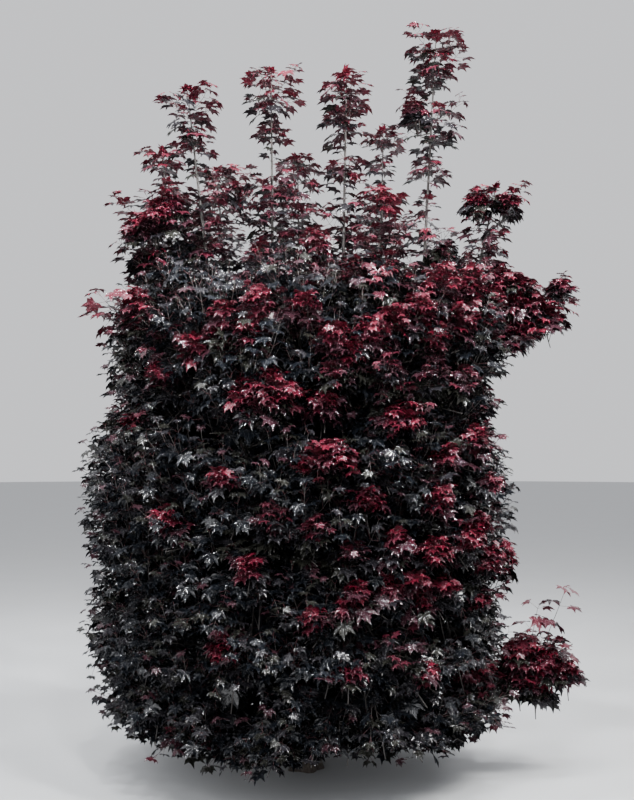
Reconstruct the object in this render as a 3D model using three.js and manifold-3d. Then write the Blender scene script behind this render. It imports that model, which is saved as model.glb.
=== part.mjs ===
// A young purple-leaved Norway maple, about 5 m tall, with foliage down to the ground.
// One trunk runs up the middle. Steep boughs leave it all round and end where they enter a mass
// of foliage. The top is a set of upright leaders with whorls of leaves and bare stem between them.
// The body below is three tiers of dense masses, five to a tier, and one on the trunk's tip.
// Millimetres, +Z up, +X to the viewer's right, the viewer on -Y. The origin is the middle of the
// flat cut under the trunk, at ground level.
import * as THREE from "three";
import { mergeVertices } from "three/addons/utils/BufferGeometryUtils.js";
import Module from "manifold-3d";

const wasm = await Module();
wasm.setup();

// Driving dimensions of the trunk
const TRUNK_HEIGHT = 2720;
const TRUNK_SWAY = 45;
const TRUNK_WINDING = 6;
const TRUNK_FOOT_RADIUS = 78;
const TRUNK_TIP_RADIUS = 25;
const FLARE_RADIUS = 42;
const FLARE_HEIGHT = 130;
const FLARE_LOBES = 5;
const FLARE_LOBE_SHARE = 0.35;
const FLARE_CROWDING = 1.7;
const TRUNK_SIDES = 12;
const TRUNK_STEPS = 10;

// Driving dimensions of the limbs and twigs
const BOUGH_FOOT_RADIUS = 27;
const BOUGH_TIP_RADIUS = 13;
const SHORT_BOUGH_RADIUS = 21;
const BOUGH_SIDES = 5;
const BOUGH_STEPS = 4;
const STEM_TIP_RADIUS = 5;
const STEM_SIDES = 4;
const STEM_STEPS = 3;
const FORK_ANGLE = THREE.MathUtils.degToRad(48);
const LEAVE_SHARE = 0.4;
const ARRIVE_SHARE = 0.35;
const TWIG_FOOT_RADIUS = 6;
const TWIG_TIP_RADIUS = 3.5;
const TWIG_SIDES = 3;
const TWIG_STEPS = 1;
const TWIG_RISE = 0.75;

// Clearances
const SEAT_GAP = 0.3;
const LIMB_CLEARANCE = 4;
const CORE_MARGIN = 12;
const GROUND_CLEARANCE = 60;

// Leaf blades, each standing for a spray. The outline is in shares of the blade's length: the tip,
// then one side's notch and lobe, and the root in the twig or stem.
const BODY_BLADE = 400;
const BLADE_VARIATION = 0.24;
const BLADE_THICKNESS = 0.04;
const BLADE_ROOT = 0.04;
const BLADE_HEART = 0.42;
const BLADE_OUTLINE = [
  { along: 1, out: 0, droop: 0.18 },
  { along: 0.6, out: 0.15, droop: 0.03 },
  { along: 0.64, out: 0.48, droop: 0.15 },
  { along: -BLADE_ROOT, out: 0, droop: 0 },
];

// Share of height in the distances that settle which mass a place belongs to
const CELL_HEIGHT_SHARE = 0.5;
// How square the spaces of foliage are: 2 is an ellipsoid
const FULLNESS = 3;
const GOLDEN_SHARE = (Math.sqrt(5) - 1) / 2;
const FIRST_SEED = 1000;
const UP = new THREE.Vector3(0, 0, 1);

const BARK = new THREE.MeshStandardMaterial({ color: 0x5d544c, roughness: 0.9, metalness: 0 });
const DARK_LEAF = new THREE.MeshStandardMaterial({ color: 0x2a1a20, roughness: 0.45, metalness: 0 });
const RED_LEAF = new THREE.MeshStandardMaterial({ color: 0x7a1426, roughness: 0.45, metalness: 0 });

// The upright leaders and the two arms on the right. fork is the height where the bough leaves the
// trunk, foot where the bough ends and the mass's own stem begins, and top the stem's tip. Each
// whorl is the height of its middle on the stem, its reach round the stem and its half depth.
const LEADERS = [
  { name: "tall_leader", fork: 930, foot: [790, 90, 2950], top: [905, 100, 4960],
    whorls: [[4810, 250, 260], [4340, 310, 190], [3990, 150, 140], [3480, 300, 260]] },
  { name: "centre_leader", fork: 1900, foot: [240, -420, 2950], top: [270, -450, 4500],
    whorls: [[4420, 210, 160], [4175, 200, 100], [3850, 170, 110], [3480, 230, 220]] },
  { name: "left_centre_leader", fork: 2350, foot: [-220, 60, 2980], top: [-235, 50, 4680],
    whorls: [[4560, 260, 210], [4260, 130, 90], [3700, 240, 330]] },
  { name: "left_leader", fork: 1480, foot: [-590, -320, 2950], top: [-760, -350, 4420],
    whorls: [[4330, 240, 170], [4070, 170, 110], [3560, 240, 260]] },
  { name: "left_outer_leader", fork: 1090, foot: [-920, 280, 2950], top: [-1010, 300, 4190],
    whorls: [[4150, 190, 110], [3720, 250, 290]] },
  { name: "right_centre_leader", fork: 1620, foot: [540, 600, 2950], top: [570, 650, 4430],
    whorls: [[4390, 170, 110], [4170, 120, 120], [3720, 230, 290]] },
  { name: "right_leader", fork: 700, foot: [1080, -150, 2980], top: [1265, -150, 3820],
    whorls: [[3780, 250, 120], [3480, 190, 180]] },
  { name: "back_centre_leader", fork: 2020, foot: [-50, 740, 2950], top: [-65, 800, 4270],
    whorls: [[4230, 200, 110], [3750, 240, 320]] },
  { name: "back_left_leader", fork: 1350, foot: [-590, 680, 2920], top: [-660, 750, 4180],
    whorls: [[4130, 220, 120], [3700, 250, 280]] },
  { name: "front_right_leader", fork: 1230, foot: [420, -730, 2800], top: [480, -780, 3660],
    whorls: [[3620, 150, 110], [3300, 230, 200]] },
  { name: "left_shoulder", fork: 560, foot: [-900, -250, 2620], top: [-985, -230, 3700],
    whorls: [[3630, 300, 140], [3230, 330, 260]] },
  { name: "right_arm", fork: 1000, foot: [1080, -40, 2760], top: [1720, -20, 3240],
    whorls: [[2940, 300, 220], [3140, 280, 180]] },
  { name: "lower_right_arm", fork: 250, foot: [1180, -160, 520], top: [1740, -230, 860],
    whorls: [[660, 240, 170], [800, 230, 190]] },
];
const WHORL_CORE = 0.4;
const PAIR_SPACING = 132;
const FEWEST_PAIRS = 2;
const TURN_VARIATION = 0.5;
const BLADE_RISE_LOW = THREE.MathUtils.degToRad(-42);
const BLADE_RISE_HIGH = THREE.MathUtils.degToRad(-2);
const TIP_RISE = THREE.MathUtils.degToRad(62);
const TIP_SHARE = 0.8;
const TIP_ROOT = 0.995;
const HIGHEST_PAIR = 0.97;
const STEM_STATIONS = 100;

// The tiers of the body, lowest first: the height of the middle, the reach from the tree's axis,
// half the height, the bearing of the first mass and the fork of its bough. Bearings run from +X
// towards +Y.
const TIERS = [
  { name: "lower", height: 850, axis: [-30, 0], reach: 1400, halfHeight: 680, turn: 0, fork: 240,
    ways: ["right", "back_right", "back_left", "front_left", "front_right"] },
  { name: "middle", height: 1850, axis: [-60, 0], reach: 1430, halfHeight: 680, turn: 36, fork: 800,
    ways: ["right_back", "back", "left", "front", "right_front"] },
  { name: "upper", height: 2790, axis: [20, 0], reach: 1360, halfHeight: 660, turn: 0, fork: 1750,
    ways: ["right", "back_right", "back_left", "front_left", "front_right"] },
];
const CROWN_DEPTH_SHARE = 0.94;
const CENTRE_HEIGHT = 780;
const CENTRE_HALF_SIZES = new THREE.Vector3(500, 500, 420);
const MASS_HALF_DEPTH = 500;
const MASS_HALF_WIDTH = 860;
const MASS_FOOT_RADIUS = 330;
const MASS_FOOT_DROP = 330;
const STEM_TIP_SHARE = 0.62;
const STEM_OUT_SHARE = 0.33;
const FORK_SPACING = 75;
const FORK_STRIDE = 2;
const FORK_STEP = 30;
const FORK_TRIES = 40;
const CORE_SHARES = new THREE.Vector3(0.36, 0.9, 0.98);
const CORE_STEPS = 3;
const TWIGS_PER_MASS = 8;
const PLACE_TRIES = 5;
const PLACE_STEP = 0.29;
const LEVEL_SPAN = 0.78;
const TWIG_FAN = THREE.MathUtils.degToRad(12);
const SIDE_SHARE = 0.9;
const PAIR_SHARE = 0.9;
const PAIR_SPREAD = THREE.MathUtils.degToRad(58);
const TWIG_TIP_ROOT = 0.98;
const TIP_HANG = 0.4;
const PAIR_HANG = 0.75;
const LEVEL_LIFT = 0.35;
const REACH_SHARE = 0.9;
const WALL_SHARE = 0.16;
const LOWEST_TWIG = 0.12;
const LOWEST_TWIG_FROM_TRUNK = 0.35;
const HIGHEST_TWIG = 0.95;

// Small seeded generator of numbers from 0 to 1
function seeded(seed) {
  let state = seed >>> 0;
  return () => {
    state = (Math.imul(state, 1664525) + 1013904223) >>> 0;
    return state / 4294967296;
  };
}

// Closed mesh to solid: only positions are kept and shared corners are merged
function solidOf(geometry) {
  const bare = geometry.clone();
  bare.deleteAttribute("normal");
  bare.deleteAttribute("uv");
  const merged = mergeVertices(bare, 1e-4);
  return new wasm.Manifold(new wasm.Mesh({
    numProp: 3,
    vertProperties: new Float32Array(merged.attributes.position.array),
    triVerts: new Uint32Array(merged.index.array),
  }));
}

// Tapering round limb along a curve, closed at both ends
function limb(curve, radiusAt, sides, steps) {
  const geometry = new THREE.CylinderGeometry(1, 1, 1, sides, steps);
  const { normals, binormals } = curve.computeFrenetFrames(steps, false);
  const place = geometry.attributes.position;
  for (let i = 0; i < place.count; i++) {
    const share = place.getY(i) + 0.5;
    const ring = Math.round(share * steps);
    const radius = radiusAt(share);
    const point = curve.getPointAt(share)
      .addScaledVector(binormals[ring], place.getX(i) * radius)
      .addScaledVector(normals[ring], place.getZ(i) * radius);
    place.setXYZ(i, point.x, point.y, point.z);
  }
  return solidOf(geometry);
}

const tapered = (foot, tip) => (share) => foot + (tip - foot) * share;

// The trunk's axis: upright, with a slight sway
function trunkPoint(height) {
  const share = height / TRUNK_HEIGHT;
  const sway = TRUNK_SWAY * Math.sin(Math.PI * share);
  const turn = TRUNK_WINDING * share;
  return new THREE.Vector3(sway * Math.cos(turn), sway * Math.sin(turn), height);
}

function trunkRadius(share, turn) {
  const flare = Math.exp((-share * TRUNK_HEIGHT) / FLARE_HEIGHT);
  const lobes = 1 + FLARE_LOBE_SHARE * Math.cos(FLARE_LOBES * turn);
  return tapered(TRUNK_FOOT_RADIUS, TRUNK_TIP_RADIUS)(share) + FLARE_RADIUS * flare * lobes;
}

// The trunk, made wider by the given amount. Its stations are closer together at the root flare.
function trunkSolid(wider) {
  const geometry = new THREE.CylinderGeometry(1, 1, 1, TRUNK_SIDES, TRUNK_STEPS);
  const place = geometry.attributes.position;
  for (let i = 0; i < place.count; i++) {
    const share = (place.getY(i) + 0.5) ** FLARE_CROWDING;
    const radius = trunkRadius(share, Math.atan2(place.getZ(i), place.getX(i))) + wider;
    const middle = trunkPoint(share * TRUNK_HEIGHT);
    place.setXYZ(i, middle.x + place.getX(i) * radius, middle.y - place.getZ(i) * radius, middle.z);
  }
  return solidOf(geometry);
}

// Leaf blade: two shallow pyramids, base to base, with the outline's corners round the rim. Its
// root corner stays just off the axis that it grows from, so that opposite blades don't meet.
function blade(axisPoint, heading, length) {
  const along = heading.clone().normalize();
  const root = axisPoint.clone().addScaledVector(along, BLADE_ROOT * length + SEAT_GAP);
  const side = new THREE.Vector3().crossVectors(UP, along).normalize();
  const over = new THREE.Vector3().crossVectors(along, side);
  const last = BLADE_OUTLINE.length - 1;
  const geometry = new THREE.SphereGeometry(1, 2 * last, 2);
  const place = geometry.attributes.position;
  for (let i = 0; i < place.count; i++) {
    const pole = Math.round(place.getY(i));
    const step = Math.round((Math.atan2(place.getZ(i), place.getX(i)) * last) / Math.PI);
    const corner = BLADE_OUTLINE[Math.abs(step)];
    const shares = pole
      ? [BLADE_HEART, 0, (pole * BLADE_THICKNESS) / 2]
      : [corner.along, -Math.sign(step) * corner.out, -corner.droop];
    const point = root.clone()
      .addScaledVector(along, shares[0] * length)
      .addScaledVector(side, shares[1] * length)
      .addScaledVector(over, shares[2] * length);
    place.setXYZ(i, point.x, point.y, point.z);
  }
  return solidOf(geometry);
}

const vector = (triple) => new THREE.Vector3(...triple);

// A leader's whorls sit on its straight stem
function leaderPlan(leader) {
  const foot = vector(leader.foot);
  const top = vector(leader.top);
  return {
    name: leader.name,
    fork: leader.fork,
    foot,
    top,
    heading: top.clone().sub(foot).normalize(),
    dense: false,
    spaces: leader.whorls.map(([height, reach, depth]) => ({
      middle: foot.clone().lerp(top, (height - foot.z) / (top.z - foot.z)),
      half: new THREE.Vector3(reach, reach, depth),
      bearing: 0,
    })),
  };
}

// A body mass fills one space, deeper than it is thick, round a stem that leans outwards. The
// lowest tier's stems grow from the trunk itself.
function bodyPlan(tier, way, i) {
  const bearing = THREE.MathUtils.degToRad(tier.turn + (i * 360) / tier.ways.length);
  const outward = new THREE.Vector3(Math.cos(bearing), Math.sin(bearing) * CROWN_DEPTH_SHARE, 0);
  const fork = tier.fork + FORK_SPACING * ((i * FORK_STRIDE) % tier.ways.length);
  const axis = vector([...tier.axis, tier.height]);
  const middle = axis.clone().addScaledVector(outward, tier.reach - MASS_HALF_DEPTH);
  const foot = axis.clone().addScaledVector(outward, MASS_FOOT_RADIUS)
    .addScaledVector(UP, -MASS_FOOT_DROP);
  return {
    name: `${tier.name}_${way}_mass`,
    fork,
    foot: tier === TIERS[0] ? null : foot,
    top: middle.clone().addScaledVector(outward, MASS_HALF_DEPTH * STEM_OUT_SHARE)
      .addScaledVector(UP, tier.halfHeight * STEM_TIP_SHARE),
    heading: outward.multiplyScalar(Math.sin(FORK_ANGLE)).setZ(Math.cos(FORK_ANGLE)).normalize(),
    dense: true,
    fan: TWIG_FAN,
    spaces: [{
      middle,
      half: new THREE.Vector3(MASS_HALF_DEPTH, MASS_HALF_WIDTH, tier.halfHeight),
      bearing,
    }],
  };
}

// The centre mass stands on the trunk's flat tip, with twigs all round
function centrePlan() {
  const foot = trunkPoint(TRUNK_HEIGHT);
  const top = foot.clone().addScaledVector(UP, CENTRE_HEIGHT);
  return {
    name: "centre_mass",
    foot,
    top,
    heading: UP.clone(),
    footRadius: TRUNK_TIP_RADIUS,
    dense: true,
    fan: Math.PI,
    spaces: [{ middle: foot.clone().lerp(top, 0.5), half: CENTRE_HALF_SIZES, bearing: 0 }],
  };
}

// How far out in its space a point is: below 1 inside, 1 on the surface
function fill(space, point) {
  const local = point.clone().sub(space.middle).applyAxisAngle(UP, -space.bearing)
    .divide(space.half);
  return local.toArray().reduce((sum, share) => sum + Math.abs(share) ** FULLNESS, 0);
}

// The way left from a point inside a space to its surface
function wayOut(space, start, heading) {
  let inside = 0;
  let outside = 2 * Math.max(...space.half.toArray());
  while (outside - inside > 1) {
    const middle = (inside + outside) / 2;
    if (fill(space, start.clone().addScaledVector(heading, middle)) < 1) inside = middle;
    else outside = middle;
  }
  return inside;
}

// A mass's cell is the room nearer to its own middle than to any other's, measured with heights
// shortened. Its walls are flat.
function giveCells(masses) {
  const shorten = new THREE.Vector3(1, 1, CELL_HEIGHT_SHARE ** 2);
  for (const mass of masses) {
    const lowest = Math.min(...mass.spaces.map((space) => space.middle.z - space.half.z));
    const highest = Math.max(...mass.spaces.map((space) => space.middle.z + space.half.z));
    const sum = mass.spaces.reduce((total, space) => total.add(space.middle), new THREE.Vector3());
    mass.middle = sum.divideScalar(mass.spaces.length).setZ((lowest + highest) / 2);
    mass.weight = ((CELL_HEIGHT_SHARE * (highest - lowest)) / 2) ** 2;
  }
  const power = (mass) => mass.middle.clone().multiply(shorten).dot(mass.middle) - mass.weight;
  for (const mass of masses) {
    mass.walls = masses.filter((other) => other !== mass).map((other) => {
      const across = mass.middle.clone().sub(other.middle).multiply(shorten).multiplyScalar(2);
      const length = across.length();
      return new THREE.Plane(across.divideScalar(length), (power(other) - power(mass)) / length);
    });
  }
}

// Where a line from inside a mass's space meets its surface or a wall of its cell
function surfacePoint(mass, space, start, way, margin) {
  const toWalls = mass.walls
    .map((wall) => [wall.distanceToPoint(start) - margin, -wall.normal.dot(way)])
    .map(([room, closing]) => (closing > 0 ? room / closing : Infinity));
  const reach = Math.min(wayOut(space, start, way), ...toWalls);
  return start.clone().addScaledVector(way, reach);
}

const boxesMeet = (a, b) =>
  [0, 1, 2].every((k) => a.min[k] <= b.max[k] && b.min[k] <= a.max[k]);

const touches = (a, b) =>
  boxesMeet(a.boundingBox(), b.boundingBox()) && !a.intersect(b).isEmpty();

const cleared = (radiusAt) => (share) => radiusAt(share) + LIMB_CLEARANCE;

// A mass's own stem, from its foot to its top
function giveStem(mass, foot) {
  const fromTrunk = mass.foot === null;
  const footRadius = mass.footRadius ?? (fromTrunk ? SHORT_BOUGH_RADIUS : BOUGH_TIP_RADIUS);
  const radiusAt = tapered(footRadius, STEM_TIP_RADIUS);
  mass.stemCurve = new THREE.QuadraticBezierCurve3(
    foot.clone().addScaledVector(mass.heading, fromTrunk ? 0 : SEAT_GAP),
    foot.clone().addScaledVector(mass.heading, foot.distanceTo(mass.top) / 2),
    mass.top,
  );
  mass.stem = limb(mass.stemCurve, radiusAt, STEM_SIDES, STEM_STEPS);
  mass.stemRoom = limb(mass.stemCurve, cleared(radiusAt), STEM_SIDES, STEM_STEPS);
}

// The bough from a fork on the trunk to a mass's foot
function giveBough(mass, fork) {
  const radiusAt = tapered(BOUGH_FOOT_RADIUS, BOUGH_TIP_RADIUS);
  const span = mass.foot.distanceTo(fork);
  const leave = mass.foot.clone().sub(fork).setZ(0).normalize()
    .multiplyScalar(Math.sin(FORK_ANGLE)).setZ(Math.cos(FORK_ANGLE));
  const curve = new THREE.CubicBezierCurve3(
    fork,
    fork.clone().addScaledVector(leave, span * LEAVE_SHARE),
    mass.foot.clone().addScaledVector(mass.heading, -span * ARRIVE_SHARE),
    mass.foot,
  );
  mass.bough = limb(curve, radiusAt, BOUGH_SIDES, BOUGH_STEPS);
  mass.boughRoom = limb(curve, cleared(radiusAt), BOUGH_SIDES, BOUGH_STEPS);
}

// Forks move down or up the trunk in small steps until their limbs clear all others
function giveLimbs(masses) {
  const hollow = trunkSolid(SEAT_GAP);
  masses.filter((mass) => mass.foot).forEach((mass) => giveStem(mass, mass.foot));
  for (const mass of masses.filter((each) => each.fork)) {
    const taken = masses.filter((other) => other !== mass)
      .flatMap((other) => [other.stemRoom, other.boughRoom]).filter(Boolean);
    const clears = (step) => {
      const shift = (step % 2 ? 0.5 : -0.5) * (step + (step % 2)) * FORK_STEP;
      const fork = trunkPoint(mass.fork + shift);
      const kind = mass.foot ? "bough" : "stem";
      if (mass.foot) giveBough(mass, fork);
      else giveStem(mass, fork);
      mass[kind] = mass[kind].subtract(hollow);
      return !taken.some((room) => touches(mass[kind], room));
    };
    const steps = Array.from({ length: FORK_TRIES }, (_, step) => step);
    if (!steps.some(clears)) throw new Error(`${mass.name} finds no room on the trunk`);
  }
}

const aroundStem = (tangent, turn) => {
  const side = new THREE.Vector3(Math.cos(turn), Math.sin(turn), 0);
  return side.addScaledVector(tangent, -side.dot(tangent)).normalize();
};

// A leader's whorl: pairs of blades crosswise up the stem, flatter below and steeper above
function growWhorl(mass, space, place, random) {
  const shares = Array.from({ length: STEM_STATIONS + 1 }, (_, i) => i / STEM_STATIONS)
    .filter((share) => fill(space, mass.stemCurve.getPointAt(share)) < WHORL_CORE);
  const first = shares[0];
  const last = Math.min(shares.at(-1), HIGHEST_PAIR);
  const depth = (last - first) * mass.stemCurve.getLength();
  const pairs = Math.max(FEWEST_PAIRS, Math.round(depth / PAIR_SPACING));
  const spin = random() * Math.PI;
  for (let pair = 0; pair < pairs; pair++) {
    const up = pair / (pairs - 1);
    const share = first + (last - first) * up;
    const root = mass.stemCurve.getPointAt(share);
    const tangent = mass.stemCurve.getTangentAt(share);
    for (const opposite of [0, Math.PI]) {
      const turn = spin + (pair * Math.PI) / 2 + opposite + TURN_VARIATION * (random() - 0.5);
      const rise = BLADE_RISE_LOW + (BLADE_RISE_HIGH - BLADE_RISE_LOW) * up;
      const heading = aroundStem(tangent, turn).multiplyScalar(Math.cos(rise))
        .addScaledVector(tangent, Math.sin(rise));
      place(blade(root, heading, space.half.x * (1 + BLADE_VARIATION * random())));
    }
  }
}

// The blade that stands up at a leader's tip
function growTip(mass, place, random) {
  const tangent = mass.stemCurve.getTangentAt(1);
  const heading = aroundStem(tangent, 2 * Math.PI * random()).multiplyScalar(Math.cos(TIP_RISE))
    .addScaledVector(tangent, Math.sin(TIP_RISE));
  const size = mass.spaces[0].half.x * TIP_SHARE;
  place(blade(mass.stemCurve.getPointAt(TIP_ROOT), heading, size));
}

// The share of the way up a dense mass's stem from which a twig climbs to its target
function twigStart(mass, target) {
  const foot = mass.stemCurve.getPointAt(0);
  const top = mass.stemCurve.getPointAt(1);
  const away = Math.hypot(target.x - (foot.x + top.x) / 2, target.y - (foot.y + top.y) / 2);
  const share = (target.z - TWIG_RISE * away - foot.z) / (top.z - foot.z);
  return THREE.MathUtils.clamp(share, mass.foot ? LOWEST_TWIG : LOWEST_TWIG_FROM_TRUNK, HIGHEST_TWIG);
}

// Twigs of a dense mass come out one above the other, each at the first place across the mass that
// has room. Each carries an opposite pair of blades and one at its tip, hanging out and down.
function growTwigs(mass, space, place, random) {
  const spin = random();
  for (let twigIndex = 0; twigIndex < TWIGS_PER_MASS; twigIndex++) {
    const level = LEVEL_SPAN * ((2 * twigIndex + 1) / TWIGS_PER_MASS - 1);
    const size = BODY_BLADE * (1 + BLADE_VARIATION * (random() - 0.5));
    for (let attempt = 0; attempt < PLACE_TRIES; attempt++) {
      const spread = 2 * ((spin + twigIndex * GOLDEN_SHARE + attempt * PLACE_STEP) % 1) - 1;
      if (growTwig(mass, space, level, spread, size, place)) break;
    }
  }
}

// The twig's target is sideways by a share of the cell's width, then outwards at the surface
function growTwig(mass, space, level, spread, size, place) {
  const turn = space.bearing + mass.fan * spread;
  const way = new THREE.Vector3(Math.cos(turn), Math.sin(turn), 0);
  const aside = new THREE.Vector3().crossVectors(UP, way).multiplyScalar(Math.sign(spread));
  const middle = space.middle.clone().addScaledVector(UP, level * space.half.z);
  const edge = surfacePoint(mass, space, middle, aside, size * WALL_SHARE);
  middle.lerp(edge, Math.abs(spread) * SIDE_SHARE);
  const surface = surfacePoint(mass, space, middle, way, size * WALL_SHARE);
  const out = surface.clone().setZ(0).normalize();
  const lift = LEVEL_LIFT * level;
  const tipHeading = out.clone().setZ(lift - TIP_HANG).normalize();
  const target = surface.addScaledVector(tipHeading, -REACH_SHARE * size);
  const start = mass.stemCurve.getPointAt(twigStart(mass, target));
  const line = new THREE.LineCurve3(start, target);
  const twig = limb(line, tapered(TWIG_FOOT_RADIUS, TWIG_TIP_RADIUS), TWIG_SIDES, TWIG_STEPS);
  if (!place(twig)) return false;
  place(blade(line.getPointAt(TWIG_TIP_ROOT), tipHeading, size), twig);
  const across = new THREE.Vector3().crossVectors(UP, out);
  for (const side of [1, -1]) {
    const heading = out.clone().multiplyScalar(Math.cos(PAIR_SPREAD))
      .addScaledVector(across, side * Math.sin(PAIR_SPREAD)).setZ(lift - PAIR_HANG);
    place(blade(line.getPointAt(PAIR_SHARE), heading, size), twig);
  }
  return true;
}

// The smaller dense middle of a body mass, kept to its cell and cut clear of the limbs
function coreOf(mass, limbs) {
  const [space] = mass.spaces;
  const inner = { ...space, half: space.half.clone().multiply(CORE_SHARES) };
  const geometry = new THREE.BoxGeometry(2, 2, 2, CORE_STEPS, CORE_STEPS, CORE_STEPS);
  const place = geometry.attributes.position;
  for (let i = 0; i < place.count; i++) {
    const way = new THREE.Vector3().fromBufferAttribute(place, i).multiply(inner.half)
      .applyAxisAngle(UP, space.bearing).normalize();
    const point = surfacePoint(mass, inner, space.middle, way, CORE_MARGIN);
    place.setXYZ(i, point.x, point.y, point.z);
  }
  return limbs.reduce(
    (core, room) => (boxesMeet(core.boundingBox(), room.boundingBox()) ? core.subtract(room) : core),
    solidOf(geometry),
  );
}

// One mass of foliage, fused into a single solid. A twig or blade that would come too near the
// ground or touch a limb, another mass or another twig's blade is left out.
function growMass(mass, obstacles, seed) {
  const random = seeded(seed);
  const own = [];
  const place = (solid, twig) => {
    const clear = solid.boundingBox().min[2] > GROUND_CLEARANCE &&
      ![...obstacles, ...own].some((other) => other !== twig && touches(solid, other));
    if (clear) own.push(solid);
    return clear;
  };
  if (!mass.dense) growTip(mass, place, random);
  for (const space of mass.spaces) {
    if (mass.dense) growTwigs(mass, space, place, random);
    else growWhorl(mass, space, place, random);
  }
  return own;
}

// Only the largest body is kept, so that nothing loose is left beside it
function fused(pieces) {
  const bodies = wasm.Manifold.union(pieces).decompose();
  return bodies.sort((a, b) => b.volume() - a.volume())[0];
}

function meshOf(name, solid, material) {
  const { vertProperties, triVerts } = solid.getMesh();
  const geometry = new THREE.BufferGeometry();
  geometry.setAttribute("position", new THREE.BufferAttribute(vertProperties, 3));
  geometry.setIndex(new THREE.BufferAttribute(triVerts, 1));
  geometry.computeVertexNormals();
  const mesh = new THREE.Mesh(geometry, material);
  mesh.name = name;
  return mesh;
}

const masses = [
  ...LEADERS.map(leaderPlan),
  ...TIERS.flatMap((tier) => tier.ways.map((way, i) => bodyPlan(tier, way, i))),
  centrePlan(),
];
giveCells(masses);
giveLimbs(masses);
const trunkRoom = trunkSolid(LIMB_CLEARANCE);
for (const mass of masses) {
  mass.limbs = masses.flatMap((other) => [other.boughRoom, other === mass ? null : other.stemRoom]);
  mass.limbs = [trunkRoom, ...mass.limbs.filter(Boolean)];
  mass.core = mass.dense ? [coreOf(mass, mass.limbs)] : [];
}

const tree = new THREE.Group();
tree.add(meshOf("trunk", trunkSolid(0), BARK));
masses.forEach((mass, i) => {
  const others = masses.filter((other) => other !== mass)
    .flatMap((other) => [...other.core, ...(other.growth ?? [])]);
  mass.growth = growMass(mass, [...mass.limbs, ...others], FIRST_SEED + i);
  const foliage = fused([mass.stem, ...mass.core, ...mass.growth]);
  if (mass.bough) tree.add(meshOf(`${mass.name.replace("_mass", "")}_bough`, mass.bough, BARK));
  tree.add(meshOf(mass.name, foliage, mass.dense ? DARK_LEAF : RED_LEAF));
});

export default tree;
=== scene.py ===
"""A young purple-leaved maple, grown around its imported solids.

The limbs and the stems of the masses follow the same named sizes and rules as the solids, and
go on to finer twigs, shoots, stalks and leaves within the same reach. Metres, +Z up, the viewer
on -Y.
"""
import math
from collections import namedtuple

import bmesh
import bpy
import numpy as np
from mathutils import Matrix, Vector, noise


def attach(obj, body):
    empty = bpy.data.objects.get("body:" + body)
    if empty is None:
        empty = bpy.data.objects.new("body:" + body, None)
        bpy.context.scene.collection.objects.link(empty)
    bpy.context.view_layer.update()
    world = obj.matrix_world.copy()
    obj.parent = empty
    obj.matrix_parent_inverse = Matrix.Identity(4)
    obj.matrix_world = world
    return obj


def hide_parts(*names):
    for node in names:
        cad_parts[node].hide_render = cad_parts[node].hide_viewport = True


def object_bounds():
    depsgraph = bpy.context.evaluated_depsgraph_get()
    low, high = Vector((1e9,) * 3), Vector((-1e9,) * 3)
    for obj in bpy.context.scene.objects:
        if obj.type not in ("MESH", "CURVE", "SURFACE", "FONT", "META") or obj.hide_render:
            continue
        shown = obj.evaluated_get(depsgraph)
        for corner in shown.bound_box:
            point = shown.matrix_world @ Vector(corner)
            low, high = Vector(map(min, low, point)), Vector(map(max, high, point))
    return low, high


bl_info = {
    "name": "Purple-leaved maple",
    "version": (1, 0, 0),
    "blender": (4, 5, 0),
    "location": "3D Viewport > Sidebar > Maple",
    "description": "Grows the bark, twigs and leaves of a young purple-leaved maple",
    "category": "Object",
}

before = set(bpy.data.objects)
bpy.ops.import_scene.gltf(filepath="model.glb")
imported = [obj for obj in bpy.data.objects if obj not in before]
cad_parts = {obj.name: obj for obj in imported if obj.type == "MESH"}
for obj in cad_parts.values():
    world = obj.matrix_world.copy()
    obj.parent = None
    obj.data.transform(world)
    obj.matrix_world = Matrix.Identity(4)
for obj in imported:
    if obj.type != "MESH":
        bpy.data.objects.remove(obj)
CAD_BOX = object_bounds()
BOUGH_NODES = [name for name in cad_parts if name.endswith("_bough")]
DENSE_NODES = [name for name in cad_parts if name.endswith("_mass")]
OPEN_NODES = [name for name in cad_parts
              if name != "trunk" and name not in BOUGH_NODES + DENSE_NODES]

MM = 0.001
UP = Vector((0, 0, 1))
GOLDEN_SHARE = (math.sqrt(5) - 1) / 2
GOLDEN_TURN = math.tau * GOLDEN_SHARE
# From this share of upright on, a way counts as steep
STEEP = 0.7

# Trunk and limbs, as in the solids
TRUNK_HEIGHT = 2.72
TRUNK_SWAY = 0.045
TRUNK_WINDING = 6
FLARE_LOBES = 5
FLARE_LOBE_SHARE = 0.35
FLARE_CROWDING = 1.7
FORK_ANGLE = math.radians(48)
LEAVE_SHARE = 0.4
ARRIVE_SHARE = 0.35
BOUGH_RADII = (0.027, 0.013)
SHORT_BOUGH_RADIUS = 0.021
STEM_TIP_RADIUS = 0.004
CELL_HEIGHT_SHARE = 0.5
FULLNESS = 3

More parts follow.
